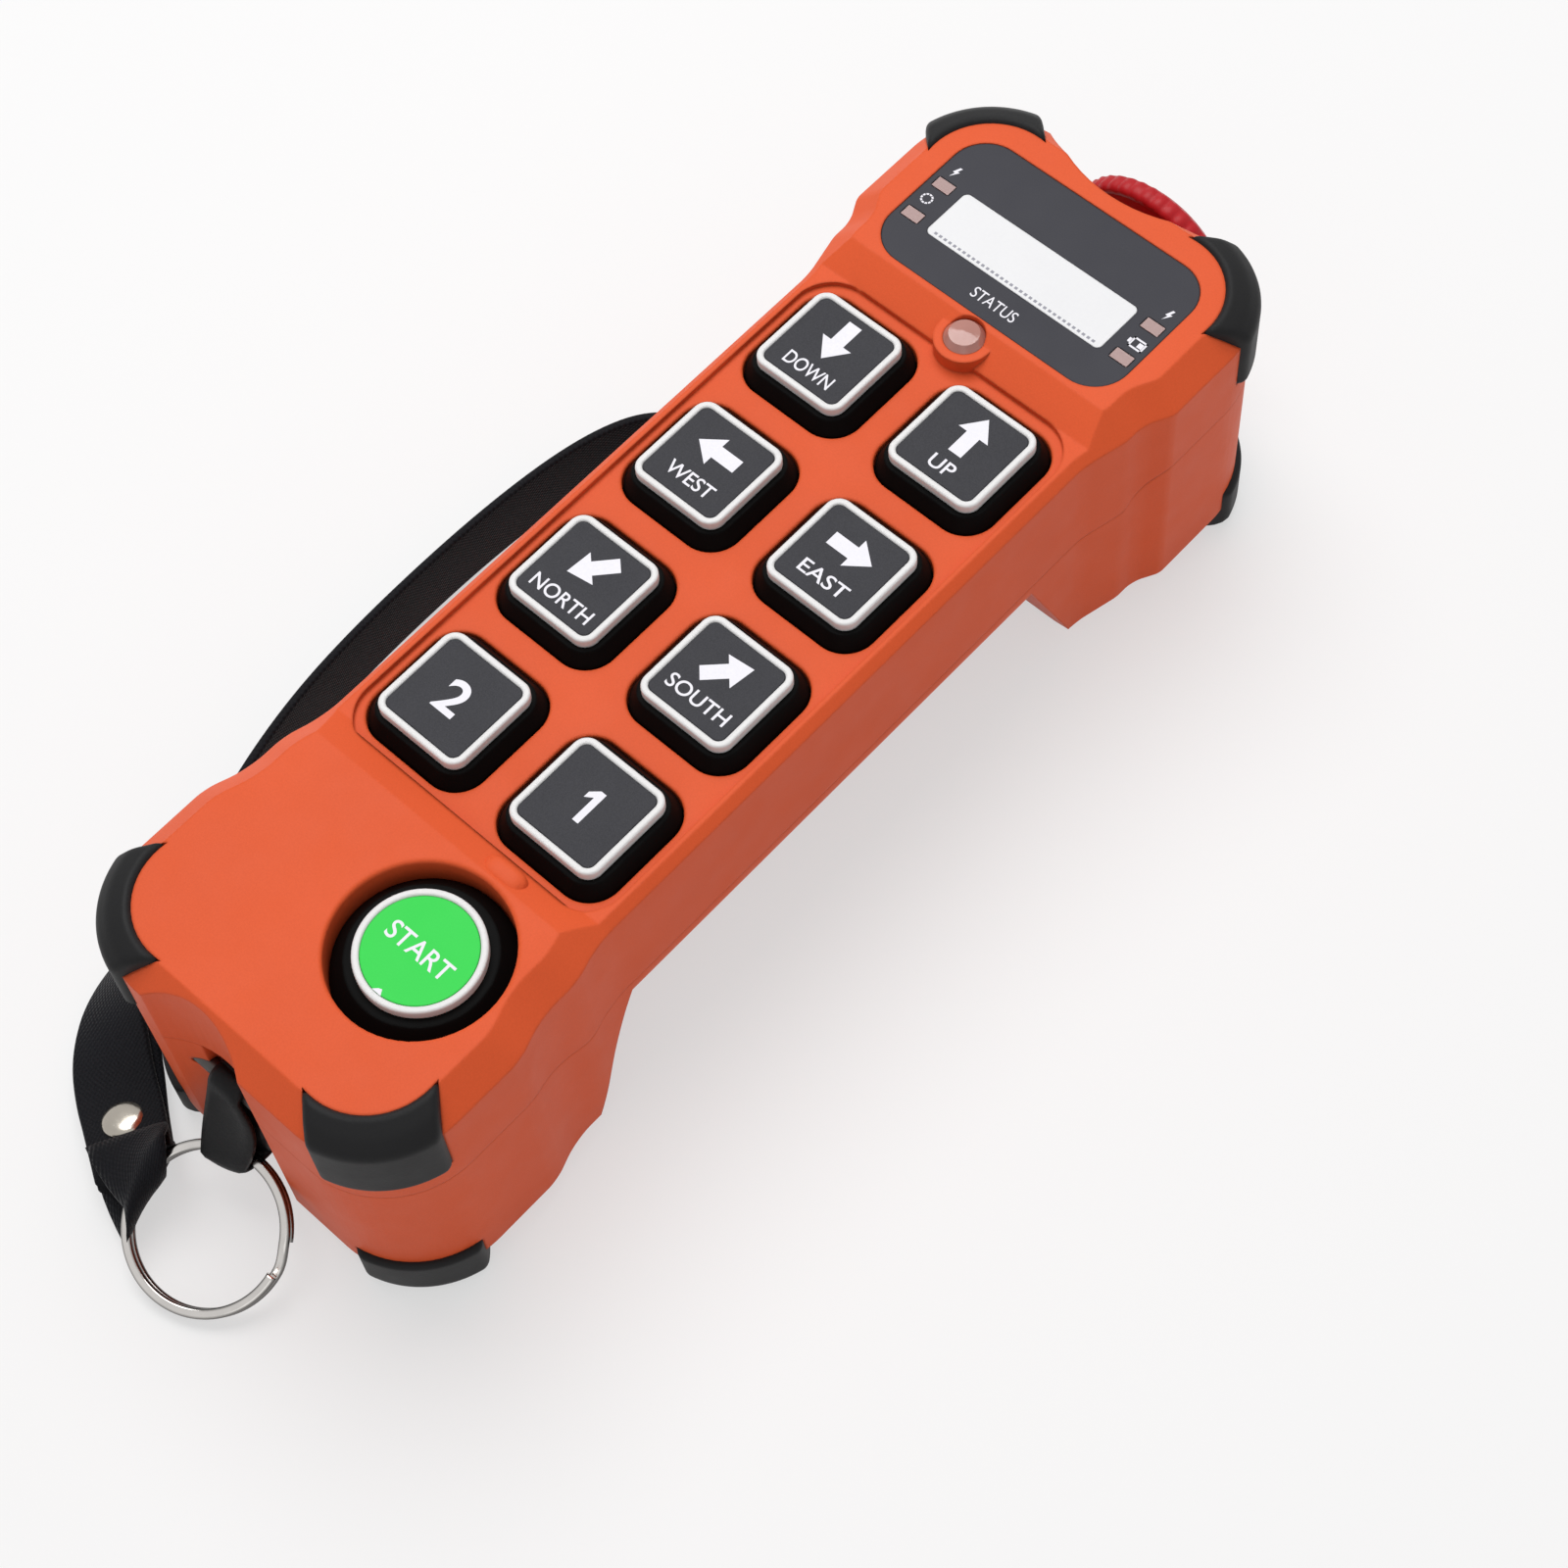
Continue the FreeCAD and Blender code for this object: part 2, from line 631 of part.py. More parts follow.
dogbone(new_sketch(front, "XY", 0), dim.wall, cavity_near, cavity_far, cavity_radius)
pocket(front, front.Group[-1], ceiling, upwards=True)
crown = new_sketch(front, "XY", ceiling - SKIM)
far_crown = far_end - dim.far_plateau
rounded(crown, as_size(0), (cavity_far + far_crown) / 2, dim.panel_width, cavity_far - far_crown,
        dim.opening_radius)
pocket(front, crown, plateau_ceiling - ceiling + SKIM, upwards=True)
KEYS = [
    ("two", -1, -1.5), ("one", 1, -1.5), ("north", -1, -0.5), ("south", 1, -0.5),
    ("west", -1, 0.5), ("east", 1, 0.5), ("down", -1, 1.5), ("up", 1, 1.5),
]
openings = new_sketch(front, "XY", dim.body_top + CLEAR)
for name, column, line in KEYS:
    rounded(openings, dim.key_pitch / 2 * column, grid_y + dim.key_pitch * line, dim.key_opening,
            dim.key_opening, dim.opening_radius)
disc(openings, dim.start_x, start_y, dim.start_well)
pocket(front, openings, dim.body_top - ceiling + CLEAR * 2)


def opening_edge(edge):
    """Whether an edge of the key face borders one of the square openings."""
    reach = dim.key_opening.number / 2
    for name, column, line in KEYS:
        x = dim.key_pitch.number / 2 * column
        y = (grid_y + dim.key_pitch * line).number
        if all(abs(max(abs(v.X - x), abs(v.Y - y)) - reach) < SAME for v in edge.Vertexes):
            return at_height(dim.keypad_top)(edge)
    return False


def well_edge(edge):
    return at_height(dim.body_top)(edge) and abs(edge.BoundBox.XLength - dim.start_well.number) < SAME


fillet(front, opening_edge, dim.opening_round)
fillet(front, well_edge, dim.well_round)
nub_y = near_end + dim.nub_from_near
nub_top = dim.body_top - dim.nub_drop
nub = new_sketch(front, "XY", dim.keypad_top)
rounded(nub, dim.nub_x, nub_y, dim.nub_length, dim.nub_width, dim.nub_width * 0.45)
pad(front, nub, nub_top - dim.keypad_top)
recess = new_sketch(front, "XY", dim.body_top + SKIM)
rounded(recess, as_size(0), panel_y, dim.panel_width, dim.panel_height, dim.panel_radius)
pocket(front, recess, dim.panel_thickness + SKIM)
window_y = panel_y - dim.window_offset
sight = new_sketch(front, "XY", dim.body_top)
rounded(sight, as_size(0), window_y, dim.window_width, dim.window_height, dim.window_radius)
pocket(front, sight, dim.wall + SKIM)
lens_top = dim.body_top - dim.lens_drop
boss = new_sketch(front, "XY", ceiling)
disc(boss, 0, lens_y, dim.lens_boss)
pad(front, boss, lens_top - ceiling)
lens_hole = new_sketch(front, "XY", dim.body_top + SKIM)
disc(lens_hole, 0, lens_y, dim.lens_diameter)
pocket(front, lens_hole, dim.body_top - ceiling + SKIM * 2)
posts = new_sketch(front, "XY", board_top)
pegs = new_sketch(front, "XY", dim.board_bottom)
POSTS = [(0, grid_y - dim.key_pitch), (0, grid_y + dim.key_pitch), (0, near_d)]
for x, y in POSTS:
    disc(posts, x, y, dim.boss_size)
    disc(pegs, x, y, dim.boss_size / 2)
pad(front, posts, ceiling - board_top + dim.boss_root)
pad(front, pegs, dim.board_thickness + dim.boss_root)
scoops(front)
screw_row = dim.seal_width + dim.case_screw_edge + dim.screw_gap + dim.screw_size / 2
CASE_SCREWS = [(dim.case_screw_x * side, y) for side in (-1, 1)
               for y in (cavity_near - screw_row, cavity_far + screw_row)]
case_top = ceiling - dim.screw_end
pilots = new_sketch(front, "XY", 0)
for x, y in CASE_SCREWS:
    disc(pilots, x, y, dim.screw_size + dim.screw_gap * 2)
pocket(front, pilots, case_top + dim.screw_gap, upwards=True)
keep(cut("front_housing", front, fuse("front_seats", front_guards + [seal])))

# Lower shell
rear = new_body("rear_shell")
dogbone(new_sketch(rear, "XY", body_bottom), 0, near_end, far_end, dim.corner_radius)
pad(rear, rear.Group[-1], dim.parting_block - body_bottom)
chamfer(rear, at_height(body_bottom), dim.edge_chamfer)
above = parting(0, 0)[:6] + [(far_end + BEYOND, dim.body_top), (near_end - BEYOND, dim.body_top)]
pocket(rear, outline(new_sketch(rear, "YZ"), above), wide, True)
grip_near = near_end + dim.near_foot
grip_far = far_end - dim.far_foot
grip = [
    (grip_near, 0), (grip_near, body_bottom), (grip_near + dim.near_run, dim.waist_bottom),
    (grip_far - dim.far_run, dim.waist_bottom), (grip_far, body_bottom), (grip_far, 0),
]
pocket(rear, outline(new_sketch(rear, "YZ"), grip), wide, True)


def grip_edge(edge):
    """The two long lower edges of the grip."""
    low = at_height(dim.waist_bottom)(edge)
    ends = [vertex.Y for vertex in edge.Vertexes]
    sides = [abs(abs(vertex.X) - dim.waist_width.number / 2) < SAME for vertex in edge.Vertexes]
    return low and all(sides) and abs(ends[0] - ends[-1]) > SAME


fillet(rear, grip_edge, dim.waist_round)
dogbone(new_sketch(rear, "XY", dim.body_top), dim.wall, cavity_near, cavity_far, cavity_radius)
pocket(rear, rear.Group[-1], dim.body_top - dim.waist_bottom - dim.wall)
bay_roof = body_bottom + dim.cover_thickness + dim.cell_diameter + dim.cell_gap * 2
wells = new_sketch(rear, "XY", dim.waist_bottom + dim.wall + SKIM)
near_well = grip_near
far_well = grip_far + dim.wall
rounded(wells, as_size(0), (cavity_near + near_well) / 2, dim.waist_width - dim.wall * 2,
        near_well - cavity_near, cavity_radius)
pocket(rear, wells, dim.waist_bottom - bay_roof + SKIM)
deep = new_sketch(rear, "XY", dim.waist_bottom + dim.wall + SKIM)
rounded(deep, as_size(0), (cavity_far + far_well) / 2, dim.waist_width - dim.wall * 2,
        cavity_far - far_well, cavity_radius)
pocket(rear, deep, dim.waist_bottom - body_bottom + SKIM)
cover_y = near_end + dim.cover_from_near + dim.cover_length / 2
cover_round = cavity_radius
seat = new_sketch(rear, "XY", 0)
rounded(seat, as_size(0), cover_y, dim.cover_width + dim.cover_gap * 2, dim.cover_length + dim.cover_gap * 2,
        cover_round + dim.cover_gap)
pocket(rear, seat, body_bottom + dim.cover_thickness, upwards=True)
bay_width = dim.cell_length + dim.contact_thickness * 2 + dim.cell_gap * 2
bay_length = dim.cell_diameter * 2 + dim.cell_gap * 3
cell_bay = new_sketch(rear, "XY", 0)
rounded(cell_bay, as_size(0), cover_y, bay_width, bay_length, dim.bay_radius)
pocket(rear, cell_bay, bay_roof, upwards=True)
slot = new_sketch(rear, "XY", dim.body_top)
rounded(slot, dim.anchor_x, near_end, dim.anchor_slot, dim.anchor_slot_depth * 2, dim.anchor_slot_radius)
pocket(rear, slot, dim.body_top)
scoops(rear)
bar_y = near_end + dim.anchor_in
bar_length = dim.anchor_slot + dim.bar_bearing * 2
bar_hole = new_sketch(rear, "YZ", dim.anchor_x)
disc(bar_hole, bar_y, dim.anchor_height, dim.bar_diameter + dim.screw_gap * 2)
pocket(rear, bar_hole, bar_length, True)
collar_hole = new_sketch(rear, "XZ", -far_scoop - CLEAR)
disc(collar_hole, 0, dim.estop_height, dim.collar_barrel)
pocket(rear, collar_hole, dim.far_scoop_wall + CLEAR * 2, upwards=True)
head_seat = body_bottom + dim.screw_head_height + dim.screw_recess
shanks = new_sketch(rear, "XY", 0)
heads = new_sketch(rear, "XY", 0)
for x, y in CASE_SCREWS:
    disc(shanks, x, y, dim.screw_size + dim.screw_gap * 2)
    disc(heads, x, y, dim.screw_head + dim.screw_gap * 2)
pocket(rear, shanks, dim.body_top, upwards=True)
pocket(rear, heads, head_seat, upwards=True)
keep(cut("rear_housing", rear, fuse("rear_seats", rear_guards + [seal])))

# Keys: a rubber boot with its plunger, a white rim and a legend insert
boot_top = dim.keypad_top + dim.key_height - dim.rim_height
flange_top = ceiling - dim.key_gap
switch_top = board_top + dim.switch_height
plunger_end = switch_top + dim.key_travel + dim.key_gap
boot_size = dim.key_opening - dim.key_gap * 2
boot_radius = dim.opening_radius - dim.key_gap
flange_size = dim.key_opening + dim.flange_lap * 2
inner_size = dim.rim_size - dim.rim_width * 2
inner_radius = dim.rim_radius - dim.rim_width


def key_boot(label, x, y):
    body = new_body(label)
    flange = new_sketch(body, "XY", flange_top - dim.flange_height)
    pad(body, rounded(flange, x, y, flange_size, flange_size, dim.opening_radius), dim.flange_height)
    sleeve = new_sketch(body, "XY", flange_top)
    pad(body, rounded(sleeve, x, y, boot_size, boot_size, boot_radius), dim.wall)
    lower = new_sketch(body, "XY", flange_top + dim.wall)
    rounded(lower, x, y, boot_size, boot_size, boot_radius)
    upper = new_sketch(body, "XY", boot_top)
    crown_size = boot_size - dim.key_taper * 2
    rounded(upper, x, y, crown_size, crown_size, boot_radius - dim.key_taper)
    loft(body, lower, upper)
    plunger = new_sketch(body, "XY", plunger_end)
    pad(body, disc(plunger, x, y, dim.plunger_size), flange_top - plunger_end)
    return keep(body)


for name, column, line in KEYS:
    key_x = dim.key_pitch / 2 * column
    key_y = grid_y + dim.key_pitch * line
    key_boot("boot_" + name, key_x, key_y)
    rim = new_body("rim_" + name)
    rim_sketch = new_sketch(rim, "XY", boot_top)
    rounded(rim_sketch, key_x, key_y, dim.rim_size, dim.rim_size, dim.rim_radius)
    rounded(rim_sketch, key_x, key_y, inner_size, inner_size, inner_radius)
    pad(rim, rim_sketch, dim.rim_height)
    fillet(rim, at_height(boot_top + dim.rim_height), dim.rim_round)
    keep(rim)
    insert = new_body("insert_" + name)
    insert_sketch = new_sketch(insert, "XY", boot_top)
    insert_size = inner_size - dim.insert_gap * 2
    rounded(insert_sketch, key_x, key_y, insert_size, insert_size, inner_radius)
    pad(insert, insert_sketch, dim.rim_height - dim.insert_drop)
    keep(insert)

# Start button, round and level with the raised face
start_top = dim.body_top - dim.start_drop
start_seat = start_top - dim.rim_height
start_boot = new_body("boot_start")
well_radius = dim.start_well / 2
outer_radius = well_radius - dim.key_gap
crown_radius = dim.start_rim / 2 + dim.key_taper
plunger_radius = dim.plunger_size / 2
boot_profile = [
    (0, plunger_end), (plunger_radius, plunger_end), (plunger_radius, flange_top - dim.flange_height),
    (well_radius + dim.flange_lap, flange_top - dim.flange_height),
    (well_radius + dim.flange_lap, flange_top), (outer_radius, flange_top),
    (outer_radius, start_seat - dim.key_taper * 2), (crown_radius, start_seat), (0, start_seat),
]
turn(start_boot, outline(new_sketch(start_boot, "XZ"), boot_profile))
keep(place(start_boot, dim.start_x, start_y, 0))
start_rim = new_body("rim_start")
rim_radius = dim.start_rim / 2
rim_profile = [
    (rim_radius - dim.rim_width, start_seat), (rim_radius, start_seat),
    (rim_radius, start_top), (rim_radius - dim.rim_width, start_top),
]
turn(start_rim, outline(new_sketch(start_rim, "XZ"), rim_profile))
fillet(start_rim, at_height(start_top), dim.rim_round)
keep(place(start_rim, dim.start_x, start_y, 0))
start_insert = rod(dim.start_x, start_y, start_seat, dim.start_rim - (dim.rim_width + dim.insert_gap) * 2,
                   dim.rim_height - dim.insert_drop)
keep(start_insert, "insert_start")

# Display, indicator lenses and status lens
panel_base = dim.body_top - dim.panel_thickness
panel_depth = dim.panel_thickness - dim.panel_gap
LAMPS = [(dim.lamp_x * side, window_y + dim.lamp_spacing / 2 * end) for side in (-1, 1) for end in (-1, 1)]
panel = new_body("display_panel")
panel_sketch = new_sketch(panel, "XY", panel_base)
rounded(panel_sketch, as_size(0), panel_y, dim.panel_width - dim.panel_gap * 2,
        dim.panel_height - dim.panel_gap * 2, dim.panel_radius - dim.panel_gap)
rounded(panel_sketch, as_size(0), window_y, dim.window_width, dim.window_height, dim.window_radius)
for x, y in LAMPS:
    rounded(panel_sketch, x, y, dim.lamp_width, dim.lamp_height, dim.lamp_radius)
pad(panel, panel_sketch, panel_depth)
keep(panel)
window = new_body("display_window")
window_sketch = new_sketch(window, "XY", panel_base)
rounded(window_sketch, as_size(0), window_y, dim.window_width - dim.insert_gap * 2,
        dim.window_height - dim.insert_gap * 2, dim.window_radius - dim.insert_gap)
pad(window, window_sketch, panel_depth)
keep(window)
lens_width = dim.lamp_width - dim.lamp_gap * 2
lens_height = dim.lamp_height - dim.lamp_gap * 2
lamps = [box(x, y, panel_base, lens_width, lens_height, panel_depth) for x, y in LAMPS]
keep(group("indicator_lenses", lamps))
module = new_body("display_module")
glass = new_sketch(module, "XY", plateau_ceiling)
rounded(glass, as_size(0), window_y, dim.window_width - dim.panel_gap * 2,
        dim.window_height - dim.panel_gap * 2, dim.glass_radius)
pad(module, glass, panel_base - plateau_ceiling)
frame = new_sketch(module, "XY", plateau_ceiling - dim.display_depth)
rounded(frame, as_size(0), window_y, dim.window_width + dim.display_frame * 2,
        dim.window_height + dim.display_frame * 2, dim.window_radius)
pad(module, frame, dim.display_depth)
keep(module)
lens = new_body("status_lens")
lens_radius = dim.lens_diameter / 2 - dim.insert_gap
lens_profile = [
    (0, ceiling - dim.lens_flange), (lens_radius + dim.lens_flange, ceiling - dim.lens_flange),
    (lens_radius + dim.lens_flange, ceiling), (lens_radius, ceiling), (lens_radius, lens_top),
    (lens_radius * 0.75, lens_top + dim.lens_shoulder), (0, lens_top + dim.lens_dome),
]
turn(lens, outline(new_sketch(lens, "XZ"), lens_profile))
keep(place(lens, 0, lens_y, 0))

# Circuit board with its switches
block_front = cavity_far - dim.block_gap
board = new_body("circuit_board")
board_sketch = new_sketch(board, "XY", dim.board_bottom)
board_near = cavity_near + dim.board_gap
board_far = block_front - dim.board_to_block
rounded(board_sketch, as_size(0), (board_near + board_far) / 2, dim.board_width, board_far - board_near,
        dim.board_radius)
for x, y in POSTS:
    disc(board_sketch, x, y, dim.boss_size / 2 + dim.screw_gap * 2)
pad(board, board_sketch, dim.board_thickness)
keep(board)
PRESSED = [(dim.key_pitch / 2 * column, grid_y + dim.key_pitch * line) for name, column, line in KEYS]
case_height = dim.switch_height - dim.switch_button
switches = []
for x, y in PRESSED + [(dim.start_x, start_y)]:
    switches.append(box(x, y, board_top, dim.switch_size, dim.switch_size, case_height))
    switches.append(rod(x, y, board_top + case_height, dim.switch_size / 2, dim.switch_button))
keep(group("key_switches", switches))

# Battery bay
cover = new_body("battery_cover")
cover_sketch = new_sketch(cover, "XY", body_bottom)
rounded(cover_sketch, as_size(0), cover_y, dim.cover_width, dim.cover_length, cover_round)
pad(cover, cover_sketch, dim.cover_thickness)
keep(cover)
cell_z = body_bottom + dim.cover_thickness + dim.cell_gap + dim.cell_diameter / 2
cell_step = (dim.cell_diameter + dim.cell_gap) / 2
can_length = dim.cell_length - dim.cell_pole
cells = []
for side in (-1, 1):
    cell_y = cover_y + cell_step * side
    can_start = dim.cell_length / -2 if side > 0 else dim.cell_length / -2 + dim.cell_pole
    pole_start = dim.cell_length / 2 - dim.cell_pole if side > 0 else dim.cell_length / -2
    can = rod(can_start, cell_y, cell_z, dim.cell_diameter, can_length, ALONG_X)
    pole = rod(pole_start, cell_y, cell_z, dim.cell_diameter / 3, dim.cell_pole, ALONG_X)
    cells.append(fuse("cell", [can, pole]))
keep(group("batteries", cells))
contact_x = (bay_width - dim.contact_thickness) / 2
keep(group("battery_contacts", [
    box(contact_x * side, cover_y, body_bottom + dim.cover_thickness + dim.cell_gap, dim.contact_thickness,
        bay_length - dim.cell_gap * 2, dim.cell_diameter) for side in (-1, 1)]))
screw_start = head_seat - dim.screw_head_height
keep(group("case_screws", [fuse("screw", [
    rod(x, y, screw_start, dim.screw_head, dim.screw_head_height),
    rod(x, y, screw_start, dim.screw_size, case_top - screw_start),
]) for x, y in CASE_SCREWS]))

# Emergency stop, turned about the housing's long axis
head_front = far_end + dim.head_reach
head_back = head_front - dim.head_thickness
stem_radius = dim.stem_diameter / 2
bore = stem_radius + dim.running_gap
collar = new_body("estop_collar")
collar_profile = [
    (bore, block_front - far_scoop), (dim.collar_barrel / 2 - dim.screw_gap, block_front - far_scoop),
    (dim.collar_barrel / 2 - dim.screw_gap, 0), (dim.collar_flange / 2, 0),
    (dim.collar_flange / 2, dim.collar_proud), (bore, dim.collar_proud),
]
turn(collar, outline(new_sketch(collar, "XZ"), collar_profile))
keep(place(collar, 0, far_scoop, dim.estop_height, ALONG_Y))
stem_start = block_front + dim.estop_travel + dim.key_gap
stem_end = head_front - dim.head_thickness / 2
keep(rod(0, stem_start, dim.estop_height, dim.stem_diameter, stem_end - stem_start, ALONG_Y), "estop_stem")
head = new_body("estop_head")
head_radius = dim.head_diameter / 2
hub_radius = dim.head_hub / 2
hub_back = dim.collar_proud + far_scoop + dim.estop_travel + dim.key_gap - head_back
bore_end = stem_end - head_back + dim.running_gap
head_profile = [
    (bore, hub_back), (hub_radius, hub_back), (hub_radius, 0), (head_radius - dim.head_bevel, 0),
    (head_radius, dim.head_bevel), (head_radius, dim.head_thickness - dim.head_round),
    (head_radius - dim.head_round, dim.head_thickness - dim.head_crown),
    (0, dim.head_thickness), (0, bore_end), (bore, bore_end),
]
turn(head, outline(new_sketch(head, "XZ"), head_profile))
keep(place(head, 0, head_back, dim.estop_height, ALONG_Y))
block_low = dim.estop_height - dim.estop_block / 2
block_high = dim.board_bottom - dim.block_to_board
keep(box(0, block_front - dim.estop_block_length / 2, block_low, dim.estop_block, dim.estop_block_length,
         block_high - block_low), "estop_switch")

# Lanyard bar, tab and split ring
bar_start = dim.anchor_x - bar_length / 2
keep(rod(bar_start, bar_y, dim.anchor_height, dim.bar_diameter, bar_length, ALONG_X), "anchor_bar")


def trig(name, angle):
    """Sine or cosine of a size in degrees."""
    number = getattr(math, name)(math.radians(angle.number))
    return Size(number, "%s(%s * 1 deg)" % (name, angle.formula))


down = V(0, -dim.ring_out.number, -dim.ring_drop.number)
tab_length = Size(down.Length, "sqrt(%s ^ 2 + %s ^ 2)" % (dim.ring_out.formula, dim.ring_drop.formula))
tab = new_body("anchor_tab")
tab_sketch = new_sketch(tab, "XY")
tab_points = [
    (dim.tab_top, 0), (dim.tab_eye, tab_length), (0, tab_length + dim.tab_eye),
    (-dim.tab_eye, tab_length), (-dim.tab_top, 0), (0, -dim.tab_top),
]
ring_end = ((0, tab_length), dim.tab_eye)
bar_end = ((0, 0), dim.tab_top)
outline(tab_sketch, tab_points, {1: ring_end, 2: ring_end, 4: bar_end, 5: bar_end})
disc(tab_sketch, 0, 0, dim.bar_diameter + dim.tab_gap * 2)
disc(tab_sketch, 0, tab_length, dim.tab_hole)
pad(tab, tab_sketch, dim.tab_width, True)
tab_turn = FreeCAD.Rotation(down.cross(V(1, 0, 0)), down, V(1, 0, 0), "ZYX")
keep(place(tab, dim.anchor_x, bar_y, dim.anchor_height, tab_turn))
sin_yaw, cos_yaw = trig("sin", dim.ring_yaw), trig("cos", dim.ring_yaw)
sin_tilt, cos_tilt = trig("sin", dim.ring_tilt), trig("cos", dim.ring_tilt)
ring_radius = (dim.ring_diameter - dim.ring_wire) / 2
ring_x = dim.anchor_x + ring_radius * sin_yaw * cos_tilt
ring_y = bar_y - dim.ring_out - ring_radius * cos_yaw * cos_tilt
ring_z = dim.anchor_height - dim.ring_drop - ring_radius * sin_tilt
towards = V(-sin_yaw.number * cos_tilt.number, cos_yaw.number * cos_tilt.number, sin_tilt.number)
normal = V(sin_yaw.number * sin_tilt.number, -cos_yaw.number * sin_tilt.number, cos_tilt.number)
ring = new_body("split_ring")
inner = ring_radius - dim.ring_wire / 2
outer = ring_radius + dim.ring_wire / 2
half = dim.ring_depth / 2
groove = dim.ring_groove
ring_profile = [
    (inner, -half), (outer, -half), (outer, -groove), (outer - groove, 0), (outer, groove), (outer, half),
    (inner, half), (inner, groove), (inner + groove, 0), (inner, -groove),
]
turn(ring, outline(new_sketch(ring, "XZ"), ring_profile))
keep(place(ring, ring_x, ring_y, ring_z, FreeCAD.Rotation(towards, normal.cross(towards), normal, "ZXY")))

# Wrist strap: its two ends lie riveted on each other and turn round the ring, and between them it is a band
# on its edge that goes round beside the grip and comes back under it
side = dim.body_width.number / -2
near = near_end.number
bend = grip_far.number - dim.far_run.number
reach = side - dim.strap_reach.number
away = V(-0.987, -0.16, 0)
pull = (away - normal * away.dot(normal)).normalize()
wire = V(ring_x.number, ring_y.number, ring_z.number) + pull * ring_radius.number
rivet = V(side + dim.rivet_in.number, near - dim.rivet_out.number, dim.rivet_level.number)
lie = rivet - wire
rivet_reach = as_size(lie.Length)
lie.normalize()
across = UP.cross(lie).normalize()
face = lie.cross(across)
tip = rivet + lie * (dim.strap_end.number * 0.8)
tip.z = 0
aside = across * (dim.strap_apart.number / 2)
ROUTE = [
    tip + aside, V(side - 3, near - 2.2), V(side - 7.5, near + 4.2), V(side - 10.5, near + 12.7),
    V(side - 13, near + 25), V(side - 19, near + 45), V(reach, near + 65), V(reach - 0.5, near + 95),
    V(reach + 2, bend - 17), V(reach + 8, bend - 6), V(side, bend - 2), V(side / 3, bend - 7),
    V(side * 0.4, 0), V(side * 0.5, -30), V(side + 5, -46), V(side - 4, near + 37),
    V(side - 8.3, near + 24.2), V(side - 7.3, near + 13.4), V(side - 4.3, near + 5), V(side - 0.3, near - 0.8),
    tip - aside,
]


def soft_path(points):
    """Straight runs joined by tangent arcs."""
    pieces = []
    start = points[0]
    for i in range(1, len(points) - 1):
        before = points[i] - points[i - 1]
        after = points[i + 1] - points[i]
        reach_in = 0.45 * min(before.Length, after.Length)
        arrive = points[i] - before.normalize() * reach_in
        leave = points[i] + after.normalize() * reach_in
        bisector = (after - before).normalize()
        turn_angle = before.getAngle(after)
        radius = reach_in / math.tan(turn_angle / 2)
        hub = points[i] + bisector * (radius / math.cos(turn_angle / 2))
        pieces.append(Part.LineSegment(start, arrive))
        pieces.append(Part.Arc(arrive, hub - bisector * radius, leave))
        start = leave
    pieces.append(Part.LineSegment(start, points[-1]))
    return pieces


lay = doc.addObject("Sketcher::SketchObject", "StrapLay")
pieces = soft_path(ROUTE)
lay.addGeometry(pieces, False)
band = doc.addObject("Part::Offset2D", "Band")
band.Source = lay
bind(band, "Value", dim.strap_thickness / 2)
band.Fill = True
run = doc.addObject("Part::Extrusion", "Run")
run.Base = band
run.DirMode = "Custom"
run.Dir = UP
bind(run, "LengthFwd", dim.strap_width)
run.Solid = True
bind(run, "Placement.Base.z", dim.key_gap)
along = normal.cross(pull)
fold_length = dim.strap_width * 0.4
fold_start = wire - along * (fold_length.number / 2)
hole = (dim.ring_wire + dim.ring_depth) * 0.9
along_wire = FreeCAD.Rotation(UP, along)
loop = rod(fold_start.x, fold_start.y, fold_start.z, hole + dim.strap_thickness, fold_length, along_wire)
bore_start = wire - along * fold_length.number
loop_bore = rod(bore_start.x, bore_start.y, bore_start.z, hole, fold_length * 2, along_wire)
end = new_body("strap_end")
root = hole * 1.25
neck = fold_length / 2
edge = dim.strap_width / 2
end_length = rivet_reach + dim.strap_end
end_points = [
    (hole / 2, -neck), (root, -neck), (root, -edge), (end_length, -edge),
    (end_length, edge), (root, edge), (root, neck), (hole / 2, neck),
]
pad(end, outline(new_sketch(end, "XY"), end_points), dim.strap_thickness * 2, True)
place(end, wire.x, wire.y, wire.z, FreeCAD.Rotation(lie, across, face, "ZXY"))
rivet_length = dim.strap_thickness * 2 + dim.rivet_height * 2
rivet_start = rivet - face * (rivet_length.number / 2)
through = FreeCAD.Rotation(UP, face)
stud = rod(rivet_start.x, rivet_start.y, rivet_start.z, dim.rivet_diameter, rivet_length, through)
keep(cut("wrist_strap", fuse("strap_band", [run, end, loop]), fuse("strap_holes", [loop_bore, stud])))
keep(stud, "strap_rivet")

doc.recompute()
lay_length = sum(piece.length() for piece in pieces)
print("strap length %.1f, band volume %.1f against %.1f" % (
    lay_length, run.Shape.Volume, lay_length * dim.strap_thickness.number * dim.strap_width.number))
faults = [thing.Label for thing in doc.Objects if "Invalid" in thing.State or "Error" in thing.State]
faults += [thing.Label for thing in nodes if thing.Shape.isNull() or not thing.Shape.isValid()]
if faults:
    raise SystemExit("unsound: " + ", ".join(faults))
os.makedirs("parts", exist_ok=True)
for thing in nodes:
    thing.Shape.exportStep("parts/%s.step" % thing.Label)
    print(thing.Label, len(thing.Shape.Solids), round(thing.Shape.Volume, 1))
print(len(nodes), "pieces")
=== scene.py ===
import json
import math

import bmesh
import bpy
from mathutils import Matrix, Vector


